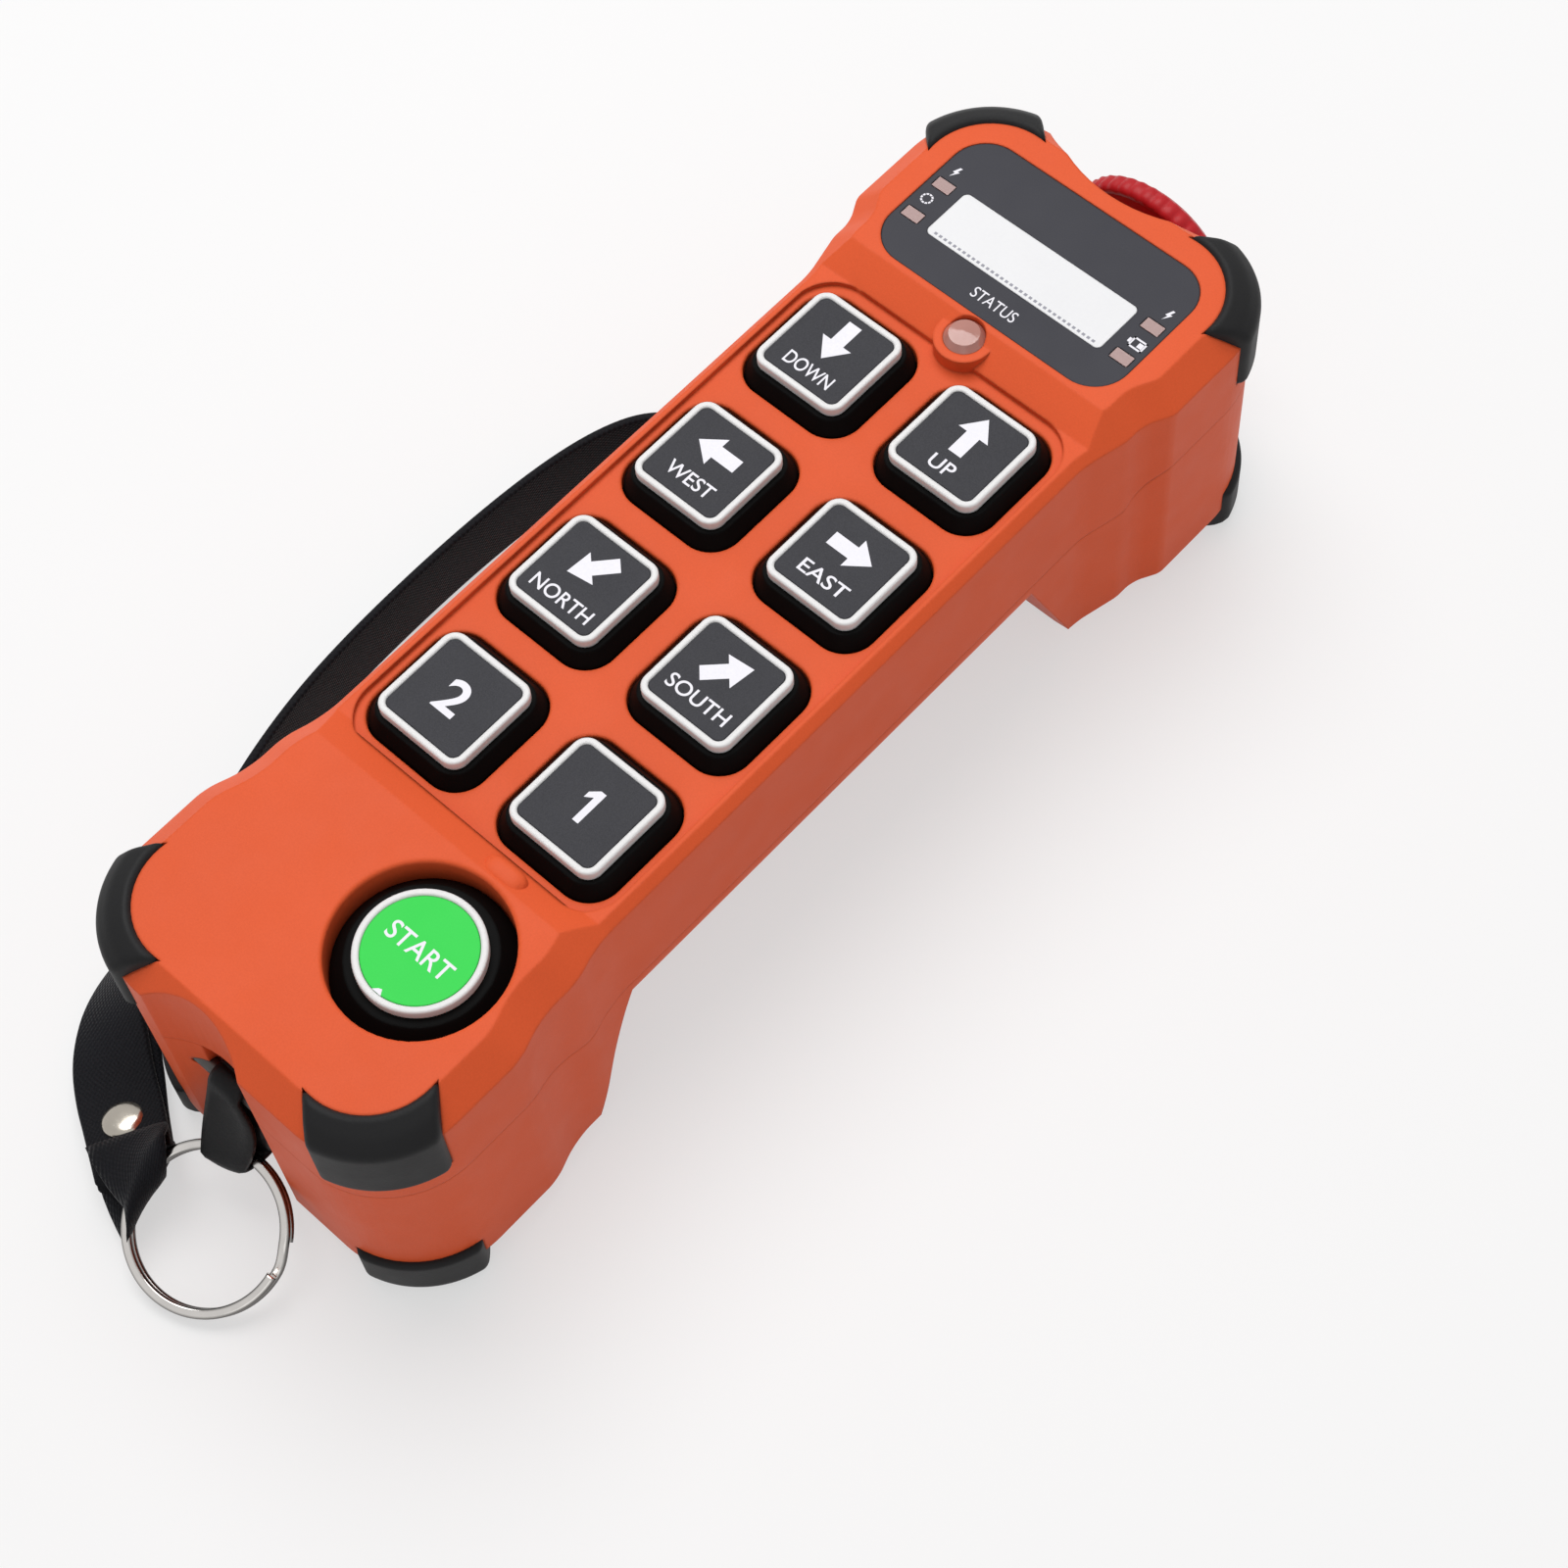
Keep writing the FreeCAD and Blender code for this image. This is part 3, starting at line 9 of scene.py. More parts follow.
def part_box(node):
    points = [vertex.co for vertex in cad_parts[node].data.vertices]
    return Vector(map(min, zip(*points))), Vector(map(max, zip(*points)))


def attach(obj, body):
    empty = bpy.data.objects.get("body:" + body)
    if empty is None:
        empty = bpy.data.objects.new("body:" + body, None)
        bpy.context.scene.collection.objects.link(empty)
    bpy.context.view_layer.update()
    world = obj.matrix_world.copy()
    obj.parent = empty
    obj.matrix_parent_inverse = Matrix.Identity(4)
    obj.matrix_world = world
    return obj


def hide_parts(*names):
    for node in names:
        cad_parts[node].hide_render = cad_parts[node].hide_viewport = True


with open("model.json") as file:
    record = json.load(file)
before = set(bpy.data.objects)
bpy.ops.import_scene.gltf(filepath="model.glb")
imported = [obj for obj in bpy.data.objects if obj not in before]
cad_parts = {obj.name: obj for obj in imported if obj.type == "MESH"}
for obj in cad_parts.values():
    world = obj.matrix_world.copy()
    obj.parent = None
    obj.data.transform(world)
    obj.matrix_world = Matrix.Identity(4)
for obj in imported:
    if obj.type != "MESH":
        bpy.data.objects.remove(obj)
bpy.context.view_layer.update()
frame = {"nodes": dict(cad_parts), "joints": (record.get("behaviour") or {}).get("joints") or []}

MM = 0.001
UP = Vector((0, 0, 1))
RIGHT = Vector((1, 0, 0))

# Shader building blocks

NOISE_ROUGHNESS = 0.55
NOISE_LOW = 0.3
NOISE_HIGH = 0.7
EDGE_PROBE = 0.25 * MM
EDGE_FLAT = 0.97
EDGE_SHARP = 0.86


class Nodes:
    """A node tree with short calls for the nodes in it."""

    def __init__(self, tree):
        self.tree = tree

    def add(self, kind, **settings):
        node = self.tree.nodes.new("ShaderNode" + kind)
        for name, value in settings.items():
            setattr(node, name, value)
        return node

    def feed(self, node, socket, value):
        """Give an input a number, a colour or another node's output."""
        target = node.inputs[socket]
        if isinstance(value, bpy.types.NodeSocket):
            self.tree.links.new(value, target)
        else:
            target.default_value = value

    def place(self, source="Object"):
        return self.add("TexCoord").outputs[source]

    def noise(self, size, detail):
        node = self.add("TexNoise")
        self.feed(node, "Vector", self.place())
        self.feed(node, "Scale", 1 / size)
        self.feed(node, "Detail", detail)
        self.feed(node, "Roughness", NOISE_ROUGHNESS)
        return node.outputs["Fac"]

    def math(self, operation, first, second=0.0):
        node = self.add("Math", operation=operation)
        self.feed(node, 0, first)
        self.feed(node, 1, second)
        return node.outputs[0]

    def span(self, value, low, high, to_low, to_high):
        """Rescale a value and hold it between the two results."""
        node = self.add("MapRange")
        for socket, number in enumerate((value, low, high, to_low, to_high)):
            self.feed(node, socket, number)
        return node.outputs[0]

    def uneven(self, noise, to_low, to_high):
        """Noise spread between two results."""
        return self.span(noise, NOISE_LOW, NOISE_HIGH, to_low, to_high)

    def mix(self, share, first, second):
        node = self.add("Mix", data_type="RGBA")
        self.feed(node, 0, share)
        self.feed(node, 6, first)
        self.feed(node, 7, second)
        return node.outputs[2]

    def bump(self, height, depth, over=None):
        node = self.add("Bump")
        self.feed(node, "Height", height)
        self.feed(node, "Distance", depth)
        if over is not None:
            self.feed(node, "Normal", over)
        return node.outputs["Normal"]

    def edges(self, radius):
        """Softened normal, and a mask that is 1 on sharp edges."""
        soft = self.add("Bevel", samples=4)
        self.feed(soft, "Radius", radius)
        sharp = self.add("Bevel", samples=3)
        self.feed(sharp, "Radius", EDGE_PROBE)
        dot = self.add("VectorMath", operation="DOT_PRODUCT")
        self.feed(dot, 0, sharp.outputs[0])
        self.feed(dot, 1, self.add("NewGeometry").outputs["Normal"])
        return soft.outputs[0], self.span(dot.outputs["Value"], EDGE_FLAT, EDGE_SHARP, 0.0, 1.0)

    def seen(self):
        """1 for rays that show a surface, straight, mirrored or through glass, and 0 for the rest."""
        rays = self.add("LightPath")
        mirrored = self.math("MAXIMUM", rays.outputs["Is Glossy Ray"], rays.outputs["Is Transmission Ray"])
        return self.math("MAXIMUM", rays.outputs["Is Camera Ray"], mirrored)


class Shader(Nodes):
    """One material with a principled shader."""

    def __init__(self, name, roughness=0.5, metallic=0.0, **sockets):
        self.material = bpy.data.materials.new(name)
        self.material.use_nodes = True
        super().__init__(self.material.node_tree)
        self.surface = self.tree.nodes["Principled BSDF"]
        self.dress(Roughness=roughness, Metallic=metallic, **sockets)

    def dress(self, **sockets):
        """Feed the surface's sockets; an underscore in a name stands for a space."""
        for socket, value in sockets.items():
            self.feed(self.surface, socket.replace("_", " "), value)


def linear(code):
    """Shader colour from a written web colour."""
    values = [int(code[i:i + 2], 16) / 255 for i in (1, 3, 5)]
    return tuple(v / 12.92 if v <= 0.04045 else ((v + 0.055) / 1.055) ** 2.4 for v in values) + (1.0,)


def shade(colour, factor, lift=0.0):
    return tuple(min(1.0, v * factor + lift) for v in colour[:3]) + (1.0,)


# Materials

CLOUD_SIZE = 22 * MM
SMEAR_SIZE = 6 * MM
RUB_SIZE = 1.6 * MM
RUB_LOW = 0.45
RUB_HIGH = 0.65
PALE_SHARE = 0.8
PALE_LIFT = 0.14


def moulded(name, code, roughness, gloss=0.25, grain=0.25 * MM, depth=0.012 * MM, mottle=0.03, speck=0.04,
            wear=0.25, soften=0.3 * MM):
    """Moulded plastic or rubber: faint clouding, eroded grain, soft edges and slight rubbing along them."""
    made = Shader(name, Specular_IOR_Level=gloss)
    colour = linear(code)
    clouds = made.uneven(made.noise(CLOUD_SIZE, 3), -mottle, mottle)
    specks = made.uneven(made.noise(grain, 2), -speck, speck)
    tone = made.span(made.math("ADD", clouds, specks), -0.5, 0.5, 0, 1)
    base = made.mix(tone, shade(colour, 0.5), shade(colour, 1.5))
    soft, edge = made.edges(soften)
    patches = made.span(made.noise(RUB_SIZE, 5), RUB_LOW, RUB_HIGH, 0, wear)
    rubbed = made.math("MULTIPLY", edge, patches)
    made.dress(
        Base_Color=made.mix(rubbed, base, shade(colour, PALE_SHARE, PALE_LIFT)),
        Roughness=made.uneven(made.noise(SMEAR_SIZE, 3), roughness - 0.03, roughness + 0.04),
        Normal=made.bump(made.noise(grain, 2), depth, soft),
    )
    return made.material


PLATING_CLOUD = 2.5 * MM
PLATING_HAZE = 0.9 * MM
SCRATCH = 0.25 * MM
SCRATCH_DEPTH = 0.004 * MM


def metal(name, code, roughness, wire=None):
    """Plated metal with fine rubbing marks and cloudy roughness; a flat wire is painted darker along its
    edges, as painted shade between its turns and painted dark reflection.
    """
    made = Shader(name, metallic=1.0)
    colour = linear(code)
    base = made.mix(made.noise(PLATING_CLOUD, 4), shade(colour, 0.86), shade(colour, 1.06))
    # Painted shade and painted dark reflection: the wire's colour falls to 12 percent towards both edges of
    # its profile.
    if wire:
        across_wire = made.add("SeparateXYZ")
        made.feed(across_wire, 0, made.place("UV"))
        off_middle = made.math("ABSOLUTE", across_wire.outputs["Y"])
        base = made.mix(made.span(off_middle, wire * 0.2, wire * 0.42, 0, 0.9), base, shade(colour, 0.12))
    made.dress(
        Base_Color=base,
        Roughness=made.span(made.noise(PLATING_HAZE, 5), 0.3, 0.75, roughness, roughness + 0.16),
        Normal=made.bump(made.noise(SCRATCH, 3), SCRATCH_DEPTH),
    )
    return made.material


INK_BODY = 0.5 * MM
INK_GRAIN = 0.2 * MM
INK_RELIEF = 0.004 * MM


def printed(name, code):
    """Screen-printed ink, slightly uneven."""
    made = Shader(name)
    colour = linear(code)
    body = made.noise(INK_BODY, 4)
    made.dress(
        Base_Color=made.mix(made.uneven(body, 0, 1), shade(colour, 0.9), colour),
        Roughness=made.uneven(body, 0.42, 0.6),
        Normal=made.bump(made.noise(INK_GRAIN, 2), INK_RELIEF),
    )
    return made.material


LENS_CLOUD = 1.5 * MM
PEEL_SIZE = 0.8 * MM
PEEL_DEPTH = 0.01 * MM


def clear(name, code, transmission, roughness):
    """Clear or tinted lens plastic with a faint orange-peel surface."""
    made = Shader(name, roughness=roughness, Transmission_Weight=transmission, IOR=1.49, Coat_Weight=0.3)
    colour = linear(code)
    made.dress(
        Base_Color=made.mix(made.noise(LENS_CLOUD, 3), shade(colour, 0.9), colour),
        Normal=made.bump(made.noise(PEEL_SIZE, 2), PEEL_DEPTH),
    )
    return made.material


RIB_PITCH = 0.9 * MM
YARN_PITCH = 0.7 * MM
FUZZ_SIZE = 0.25 * MM
FADE_SIZE = 12 * MM
WEAVE_DEPTH = 0.05 * MM


def webbing(name, code):
    """Woven band: cross ribs and lengthwise yarns, laid along the strap by its own coordinates, with painted
    shade where the weave is low and painted highlight where it stands high.
    """
    made = Shader(name, roughness=0.75, Sheen_Weight=0.12, Sheen_Roughness=0.4, Specular_IOR_Level=0.15)
    colour = linear(code)
    along = made.add("SeparateXYZ")
    made.feed(along, 0, made.place("UV"))
    rib = made.math("SINE", made.math("MULTIPLY", along.outputs["X"], 2 * math.pi / RIB_PITCH))
    yarn = made.math("SINE", made.math("MULTIPLY", along.outputs["Y"], 2 * math.pi / YARN_PITCH))
    weave = made.math("MULTIPLY", rib, yarn)
    fuzz = made.noise(FUZZ_SIZE, 4)
    worn = made.uneven(made.noise(FADE_SIZE, 3), -0.1, 0.3)
    # Painted shade and highlight: lighter where the weave stands high and darker in its hollows, with random
    # worn patches added.
    weave_shade_and_wear = made.math("ADD", made.span(weave, -1, 1, 0.1, 0.7), worn)
    height = made.math("ADD", weave, made.math("MULTIPLY", fuzz, 0.8))
    made.dress(
        Base_Color=made.mix(weave_shade_and_wear, shade(colour, 0.55), shade(colour, 1.35)),
        Roughness=made.uneven(fuzz, 0.62, 0.85),
        Normal=made.bump(height, WEAVE_DEPTH),
    )
    return made.material


ORANGE = moulded("orange_shell", "#ec5930", 0.48, gloss=0.13, depth=0.016 * MM, wear=0.1, soften=0.6 * MM)
GUARD = moulded("guard_rubber", "#1b1b1c", 0.5, gloss=0.16, grain=0.35 * MM, depth=0.02 * MM, wear=0.12,
                soften=0.9 * MM)
BOOT = moulded("boot_rubber", "#090909", 0.5, gloss=0.04, grain=0.3 * MM, depth=0.008 * MM, mottle=0.08,
               wear=0.06, soften=0.6 * MM)
RIM = moulded("rim_plastic", "#f4efee", 0.4, gloss=0.4, depth=0.004 * MM, mottle=0.01, speck=0.01, wear=0.04)
INSERT = moulded("insert_film", "#3d3d41", 0.5, gloss=0.08, grain=0.16 * MM, depth=0.02 * MM, speck=0.16,
                 wear=0.05)
GREEN = moulded("start_film", "#39d352", 0.46, gloss=0.12, grain=0.2 * MM, depth=0.008 * MM, mottle=0.02,
                speck=0.02, wear=0.05)
PANEL = moulded("panel_film", "#3c3c42", 0.42, gloss=0.1, grain=0.2 * MM, depth=0.006 * MM, speck=0.06,
                wear=0.05)
RED = moulded("stop_red", "#b01f26", 0.4, gloss=0.2, depth=0.006 * MM, mottle=0.05, wear=0.15,
              soften=0.5 * MM)
DARK = moulded("dark_plastic", "#1a1a1c", 0.5, gloss=0.2, wear=0.1)
TAB = moulded("tab_leather", "#0d0d0f", 0.5, gloss=0.2, grain=0.6 * MM, depth=0.05 * MM, mottle=0.15,
              wear=0.15)
SEAL = moulded("seal_rubber", "#5b2a1e", 0.6, gloss=0.2, wear=0.05)
BOARD = moulded("board_lacquer", "#1d5b34", 0.35, grain=0.6 * MM, mottle=0.12)
CELL = moulded("cell_sleeve", "#2c3a58", 0.35, mottle=0.08)
WINDOW = moulded("display_white", "#ecebf1", 0.22, gloss=0.3, grain=0.5 * MM, depth=0.002 * MM, mottle=0.01,
                 speck=0.01, wear=0.02)
LAMP = clear("lamp_lens", "#96706b", 0.05, 0.35)
LENS = clear("status_clear", "#c98b7e", 0.25, 0.12)
WIRE_WIDTH = 1.55 * MM
NICKEL = metal("nickel_plate", "#bdb6ab", 0.12)
# The ring's wire is painted darker along its edges: painted shade and painted dark reflection.
RING = metal("ring_plate", "#dedad6", 0.08, wire=WIRE_WIDTH)
STEEL = metal("zinc_steel", "#a9a9a6", 0.3)
# Painted shade: the anchor bar's steel is a darker copy of the plain steel, standing for the shade in the
# slot it sits in.
SHADED_STEEL = metal("steel_painted_shade", "#5b5856", 0.4)
INK = printed("white_ink", "#eceaf1")
DARK_INK = printed("grey_ink", "#8d8d97")
STRAP = webbing("strap_webbing", "#0c0d12")

FINISH = {
    "front_housing": ORANGE, "rear_housing": ORANGE, "housing_seal": SEAL, "battery_cover": ORANGE,
    "display_panel": PANEL, "display_window": WINDOW, "indicator_lenses": LAMP, "display_module": DARK,
    "status_lens": LENS, "circuit_board": BOARD, "key_switches": DARK, "batteries": CELL,
    "battery_contacts": STEEL, "case_screws": STEEL, "estop_collar": DARK, "estop_stem": DARK,
    "estop_head": RED, "estop_switch": DARK, "anchor_bar": SHADED_STEEL, "anchor_tab": TAB,
    "insert_start": GREEN,
}


def finish_of(node):
    if node in FINISH:
        return FINISH[node]
    for word, material in (("guard", GUARD), ("boot", BOOT), ("rim", RIM), ("insert", INSERT)):
        if word in node:
            return material
    return STEEL


for node, thing in frame["nodes"].items():
    for part_slot in thing.material_slots:
        part_slot.material = finish_of(node)

# Mesh building blocks

INK_DEPTH = 0.04 * MM
WORD_BOLDNESS = 0.008
DIGIT_BOLDNESS = 0.02
TOUCHING = 1e-6


def new_piece(name, mesh, body, material):
    """Object in the row frame that rides on a body."""
    thing = bpy.data.objects.new(name, mesh)
    bpy.context.scene.collection.objects.link(thing)
    mesh.materials.clear()
    mesh.materials.append(material)
    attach(thing, body)
    return thing


def mesh_of(name, made):
    """Finish a bmesh into a mesh with sound normals."""
    bmesh.ops.recalc_face_normals(made, faces=made.faces)
    mesh = bpy.data.meshes.new(name)
    made.to_mesh(mesh)
    made.free()
    return mesh


def joined(name, meshes):
    made = bmesh.new()
    for mesh in meshes:
        made.from_mesh(mesh)
    return mesh_of(name, made)


def bridge(made, rows, smooth=True):
    """Faces between rows of points that each run once round."""
    for first, second in zip(rows, rows[1:]):
        for k in range(len(first)):
            j = (k + 1) % len(first)
            made.faces.new((first[k], first[j], second[j], second[k])).smooth = smooth


def plate(name, outlines, height, depth=INK_DEPTH):
    """Flat sheet of ink about a height, from closed outlines."""
    made = bmesh.new()
    for outline in outlines:
        levels = (height - depth / 2, height + depth / 2)
        rows = [[made.verts.new((x, y, z)) for x, y in outline] for z in levels]
        for row in rows:
            made.faces.new(row)
        bridge(made, rows, smooth=False)
    return mesh_of(name, made)


def lettering(name, words, place, width, height, boldness=WORD_BOLDNESS):
    """Printed words about a point, fitted to a width and a height."""
    curve = bpy.data.curves.new(name, "FONT")
    curve.body = words
    curve.align_x = "CENTER"
    curve.offset = boldness
    curve.extrude = 0.1
    source = bpy.data.objects.new(name, curve)
    mesh = bpy.data.meshes.new_from_object(source)
    bpy.data.objects.remove(source)
    bpy.data.curves.remove(curve)
    mesh.name = name
    points = [vertex.co for vertex in mesh.vertices]
    low = Vector([min(p[i] for p in points) for i in range(3)])
    high = Vector([max(p[i] for p in points) for i in range(3)])
    middle = (low + high) / 2
    size = high - low
    fit = Matrix.Diagonal((width / size.x, height / size.y, INK_DEPTH / size.z, 1))
    mesh.transform(Matrix.Translation(place) @ fit @ Matrix.Translation(-middle))
    return mesh


def rectangle(x, y, width, height):
    """Outline about a point."""
    a = width / 2
    b = height / 2
    return [(x - a, y - b), (x + a, y - b), (x + a, y + b), (x - a, y + b)]


def top_middle(node):
    """Middle of a node's upper face."""
    low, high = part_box(node)
    return Vector(((low.x + high.x) / 2, (low.y + high.y) / 2, high.z))


def soft_shaded(piece, sharp):
    """Smooth shading that keeps edges sharper than an angle and flat faces flat."""
    piece.data.shade_smooth()
    piece.data.set_sharp_from_angle(angle=math.radians(sharp))
    even = piece.modifiers.new("even", "WEIGHTED_NORMAL")
    even.keep_sharp = True


# Housing halves with soft shoulders

WELD = 0.002 * MM
FLAT_TURN = math.radians(0.5)
MILD_TURN = math.radians(9)
STRONG_TURN = math.radians(40)
SHORTEST_FLANK = 0.5 * MM
SIDEWAYS = 0.5
NEAR_CREST = 1.6 * MM
NEAR_HOLLOW = 2.8 * MM
FAR_CREST = 0.7 * MM
FAR_HOLLOW = 1.6 * MM
BLEND_STEPS = 6
SHELL_SHARP = 12


def flank_edge(edge):
    """Whether an edge lies between two outer side faces that turn a little in plan."""
    first, second = (vertex.co for vertex in edge.verts)
    upright = abs(first.z - second.z) > SHORTEST_FLANK
    outward = all(abs(face.normal.x) > SIDEWAYS and face.normal.x * first.x > 0 for face in edge.link_faces)
    return upright and outward and MILD_TURN < edge.calc_face_angle() < STRONG_TURN


def shell_mesh(node):
    """A housing half whose side facets run into each other."""
    made = bmesh.new()
    made.from_mesh(frame["nodes"][node].data)
    bmesh.ops.remove_doubles(made, verts=made.verts, dist=WELD)
    bmesh.ops.dissolve_limit(made, angle_limit=FLAT_TURN, verts=made.verts, edges=made.edges)
    for width, end, crest in ((NEAR_CREST, -1, True), (NEAR_HOLLOW, -1, False),
                              (FAR_CREST, 1, True), (FAR_HOLLOW, 1, False)):
        made.normal_update()
        edges = [edge for edge in made.edges
                 if edge.verts[0].co.y * end > 0 and flank_edge(edge) and edge.is_convex == crest]
        bmesh.ops.bevel(made, geom=edges, offset=width, offset_type="OFFSET", segments=BLEND_STEPS,
                        profile=0.5, affect="EDGES", clamp_overlap=False)
    return mesh_of(node + "_form", made)


for node in ("front_housing", "rear_housing"):
    shell = new_piece(node + "_form", shell_mesh(node), "housing", ORANGE)
    soft_shaded(shell, SHELL_SHARP)
    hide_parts(node)

# Corner guards: rubber bands round the corners, cut straight across, with soft edges and ends

CORNER_RADIUS = 15 * MM
EDGE_BEVEL = 4 * MM
GUARD_PROUD = 1 * MM
GUARD_SINK = 1 * MM
GUARD_LAP = 0.3 * MM
GUARD_BROW = 1.7 * MM
GUARD_HALF = 8.65 * MM
GUARD_ROUND = 0.8 * MM
BROW_ROUND = 2.2 * MM
CREST_ROUND = 4 * MM
ROUND_STEPS = 4
GUARD_STEPS = 12
END_ANGLES = (0, 30, 50, 70, 90)
GUARD_SHARP = 40
CORNERS = (
    ("near_left", -1, -1, 225), ("near_right", 1, -1, -45), ("far_left", -1, 1, 135), ("far_right", 1, 1, 45),
)
shell_low, shell_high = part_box("front_housing")
guard_in = CORNER_RADIUS - EDGE_BEVEL - GUARD_LAP
guard_out = CORNER_RADIUS + GUARD_PROUD
guard_back = CORNER_RADIUS - GUARD_SINK
guard_slack = GUARD_SINK * 0.4


def upper_section(low, high):
    """Corners of an upper guard's section, as (radius, height, rounding)."""
    crest = shell_high.z
    ridge = crest - EDGE_BEVEL
    return [
        (guard_in, high, GUARD_ROUND), (guard_in, crest - GUARD_SINK, 0),
        (guard_back, ridge - guard_slack, 0), (guard_back, low, 0), (guard_out, low, GUARD_ROUND),
        (guard_out, ridge + GUARD_BROW, BROW_ROUND), (guard_back, crest - guard_slack, CREST_ROUND),
    ]


def lower_section(low, high):
    """Corners of a lower guard's section, as (radius, height, rounding)."""
    bottom = low + GUARD_PROUD
    return [
        (guard_in, low, GUARD_ROUND), (guard_out, low, BROW_ROUND), (guard_out, high, GUARD_ROUND),
        (guard_back, high, 0), (guard_back, bottom + EDGE_BEVEL + guard_slack, 0),
        (guard_in, bottom + GUARD_SINK, 0),
    ]


def soft_outline(corners):
    """Points with outward normals along an outline of rounded corners; square corners have no normal."""
    found = []
    for i, (x, y, rounding) in enumerate(corners):
        here = Vector((x, y))
        came = (here - Vector(corners[i - 1][:2])).normalized()
        goes = (Vector(corners[(i + 1) % len(corners)][:2]) - here).normalized()
        first = Vector((came.y, -came.x))
        last = Vector((goes.y, -goes.x))
        if rounding == 0:
            found.append((here, Vector((0, 0))))
            continue
        middle = here - (first + last) * rounding / (1 + first.dot(last))
        for k in range(ROUND_STEPS + 1):
            normal = first.lerp(last, k / ROUND_STEPS).normalized()
            found.append((middle + normal * rounding, normal))
    return found


def guard_mesh(name, axis_x, axis_y, angle, corners):
    """Guard from sections that stand across its corner, drawn in at both ends."""
    made = bmesh.new()
    ends = [GUARD_ROUND * (1 - math.cos(math.radians(a))) for a in END_ANGLES]
    straight = GUARD_HALF - GUARD_ROUND
    offsets = [d - GUARD_HALF for d in ends]
    offsets += [straight * k / GUARD_STEPS for k in range(1 - GUARD_STEPS, GUARD_STEPS)]
    offsets += [GUARD_HALF - d for d in reversed(ends)]
    stand = Matrix.Translation((axis_x, axis_y, 0)) @ Matrix.Rotation(math.radians(angle), 4, "Z")
    outline = soft_outline(corners)
    rows = []
    for s in offsets:
        short = max(0.0, GUARD_ROUND - (GUARD_HALF - abs(s)))
        inset = GUARD_ROUND - math.sqrt(GUARD_ROUND ** 2 - short ** 2)
        row = []
        for point, normal in outline:
            radius, z = point - normal * inset
            row.append(made.verts.new(stand @ Vector((math.sqrt(radius ** 2 - s ** 2), s, z))))
        rows.append(row)
    bridge(made, rows)
    made.faces.new(rows[0])
    made.faces.new(rows[-1])
    return mesh_of(name, made)


for level, section in (("front", upper_section), ("rear", lower_section)):
    for name, side, end, angle in CORNERS:
        node = "%s_guard_%s" % (level, name)
        guard_low, guard_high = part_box(node)
        edge_y = shell_high.y if end > 0 else shell_low.y
        axis_x = side * (shell_high.x - CORNER_RADIUS)
        axis_y = edge_y - end * CORNER_RADIUS
        mesh = guard_mesh(node + "_form", axis_x, axis_y, angle, section(guard_low.z, guard_high.z))
        guard = new_piece(node + "_form", mesh, "housing", GUARD)
        soft_shaded(guard, GUARD_SHARP)
        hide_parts(node)

# Key legends

ARROW_LENGTH = 7.4 * MM
ARROW_SHAFT = 2.3 * MM
ARROW_HEAD = 5.3 * MM
ARROW_POINT = 3.4 * MM
ARROW_RISE = 2.0 * MM
WORD_HEIGHT = 2.3 * MM
HIGH_WORD = -3.7 * MM
LOW_WORD = -4.3 * MM
DIGIT_HEIGHT = 5.5 * MM
TWO_WIDTH = 3.9 * MM
ONE_STEM = 1.05 * MM
ONE_SHIFT = 0.9
ONE_FLAG = 1.25 * MM
FLAG_DROP = 1.1 * MM
FLAG_DEPTH = 1.0 * MM
FLAG_ROOT = 1.35 * MM
START_WIDTH = 11 * MM
START_HEIGHT = 2.8 * MM
CHIP = [(-0.8, 0), (0.8, 0), (0.3, 0.8), (-0.2, 0.6)]
LEGENDS = {
    "north": ("NORTH", 10.7 * MM, LOW_WORD, 227), "south": ("SOUTH", 10.7 * MM, HIGH_WORD, 44),
    "west": ("WEST", 8.2 * MM, HIGH_WORD, 180), "east": ("EAST", 8.2 * MM, HIGH_WORD, 0),
    "down": ("DOWN", 8.4 * MM, LOW_WORD, -90), "up": ("UP", 4.1 * MM, LOW_WORD, 90),
}


def arrow(x, y, angle):
    """Outline of a block arrow about a point."""
    tip = ARROW_LENGTH / 2
    tail = -tip
    neck = tip - ARROW_POINT
    half = ARROW_SHAFT / 2
    wing = ARROW_HEAD / 2
    points = [(tail, -half), (neck, -half), (neck, -wing), (tip, 0), (neck, wing), (neck, half), (tail, half)]
    c = math.cos(math.radians(angle))
    s = math.sin(math.radians(angle))
    return [(x + c * u - s * v, y + s * u + c * v) for u, v in points]


def figure_one(x, y):
    """Outline of the figure one about a point: a stem with a slanting flag."""
    head = DIGIT_HEIGHT / 2
    right = ONE_STEM * ONE_SHIFT
    left = right - ONE_STEM
    flag = head - FLAG_DROP
    points = [
        (right, -head), (right, head), (0, head), (-ONE_FLAG, flag), (-ONE_FLAG, flag - FLAG_DEPTH),
        (left, head - FLAG_ROOT), (left, -head),
    ]
    return [(x + u, y + v) for u, v in points]


def arrow_legend(name, words, width, drop, angle):
    """A word with a block arrow above it."""
    top = top_middle("insert_" + name)
    word = lettering("word", words, (top.x, top.y + drop, top.z), width, WORD_HEIGHT)
    sign = plate("sign", [arrow(top.x, top.y + ARROW_RISE, angle)], top.z)
    return joined("legend_" + name, [word, sign])


def start_legend():
    """The start button's word, and a small pale chip at the edge of its film."""
    low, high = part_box("insert_start")
    top = top_middle("insert_start")
    edge = top.y - (high.x - low.x) / 2
    word = lettering("word", "START", top, START_WIDTH, START_HEIGHT)
    chip = plate("chip", [[(top.x + u * MM, edge + v * MM) for u, v in CHIP]], top.z)
    return joined("legend_start", [word, chip])


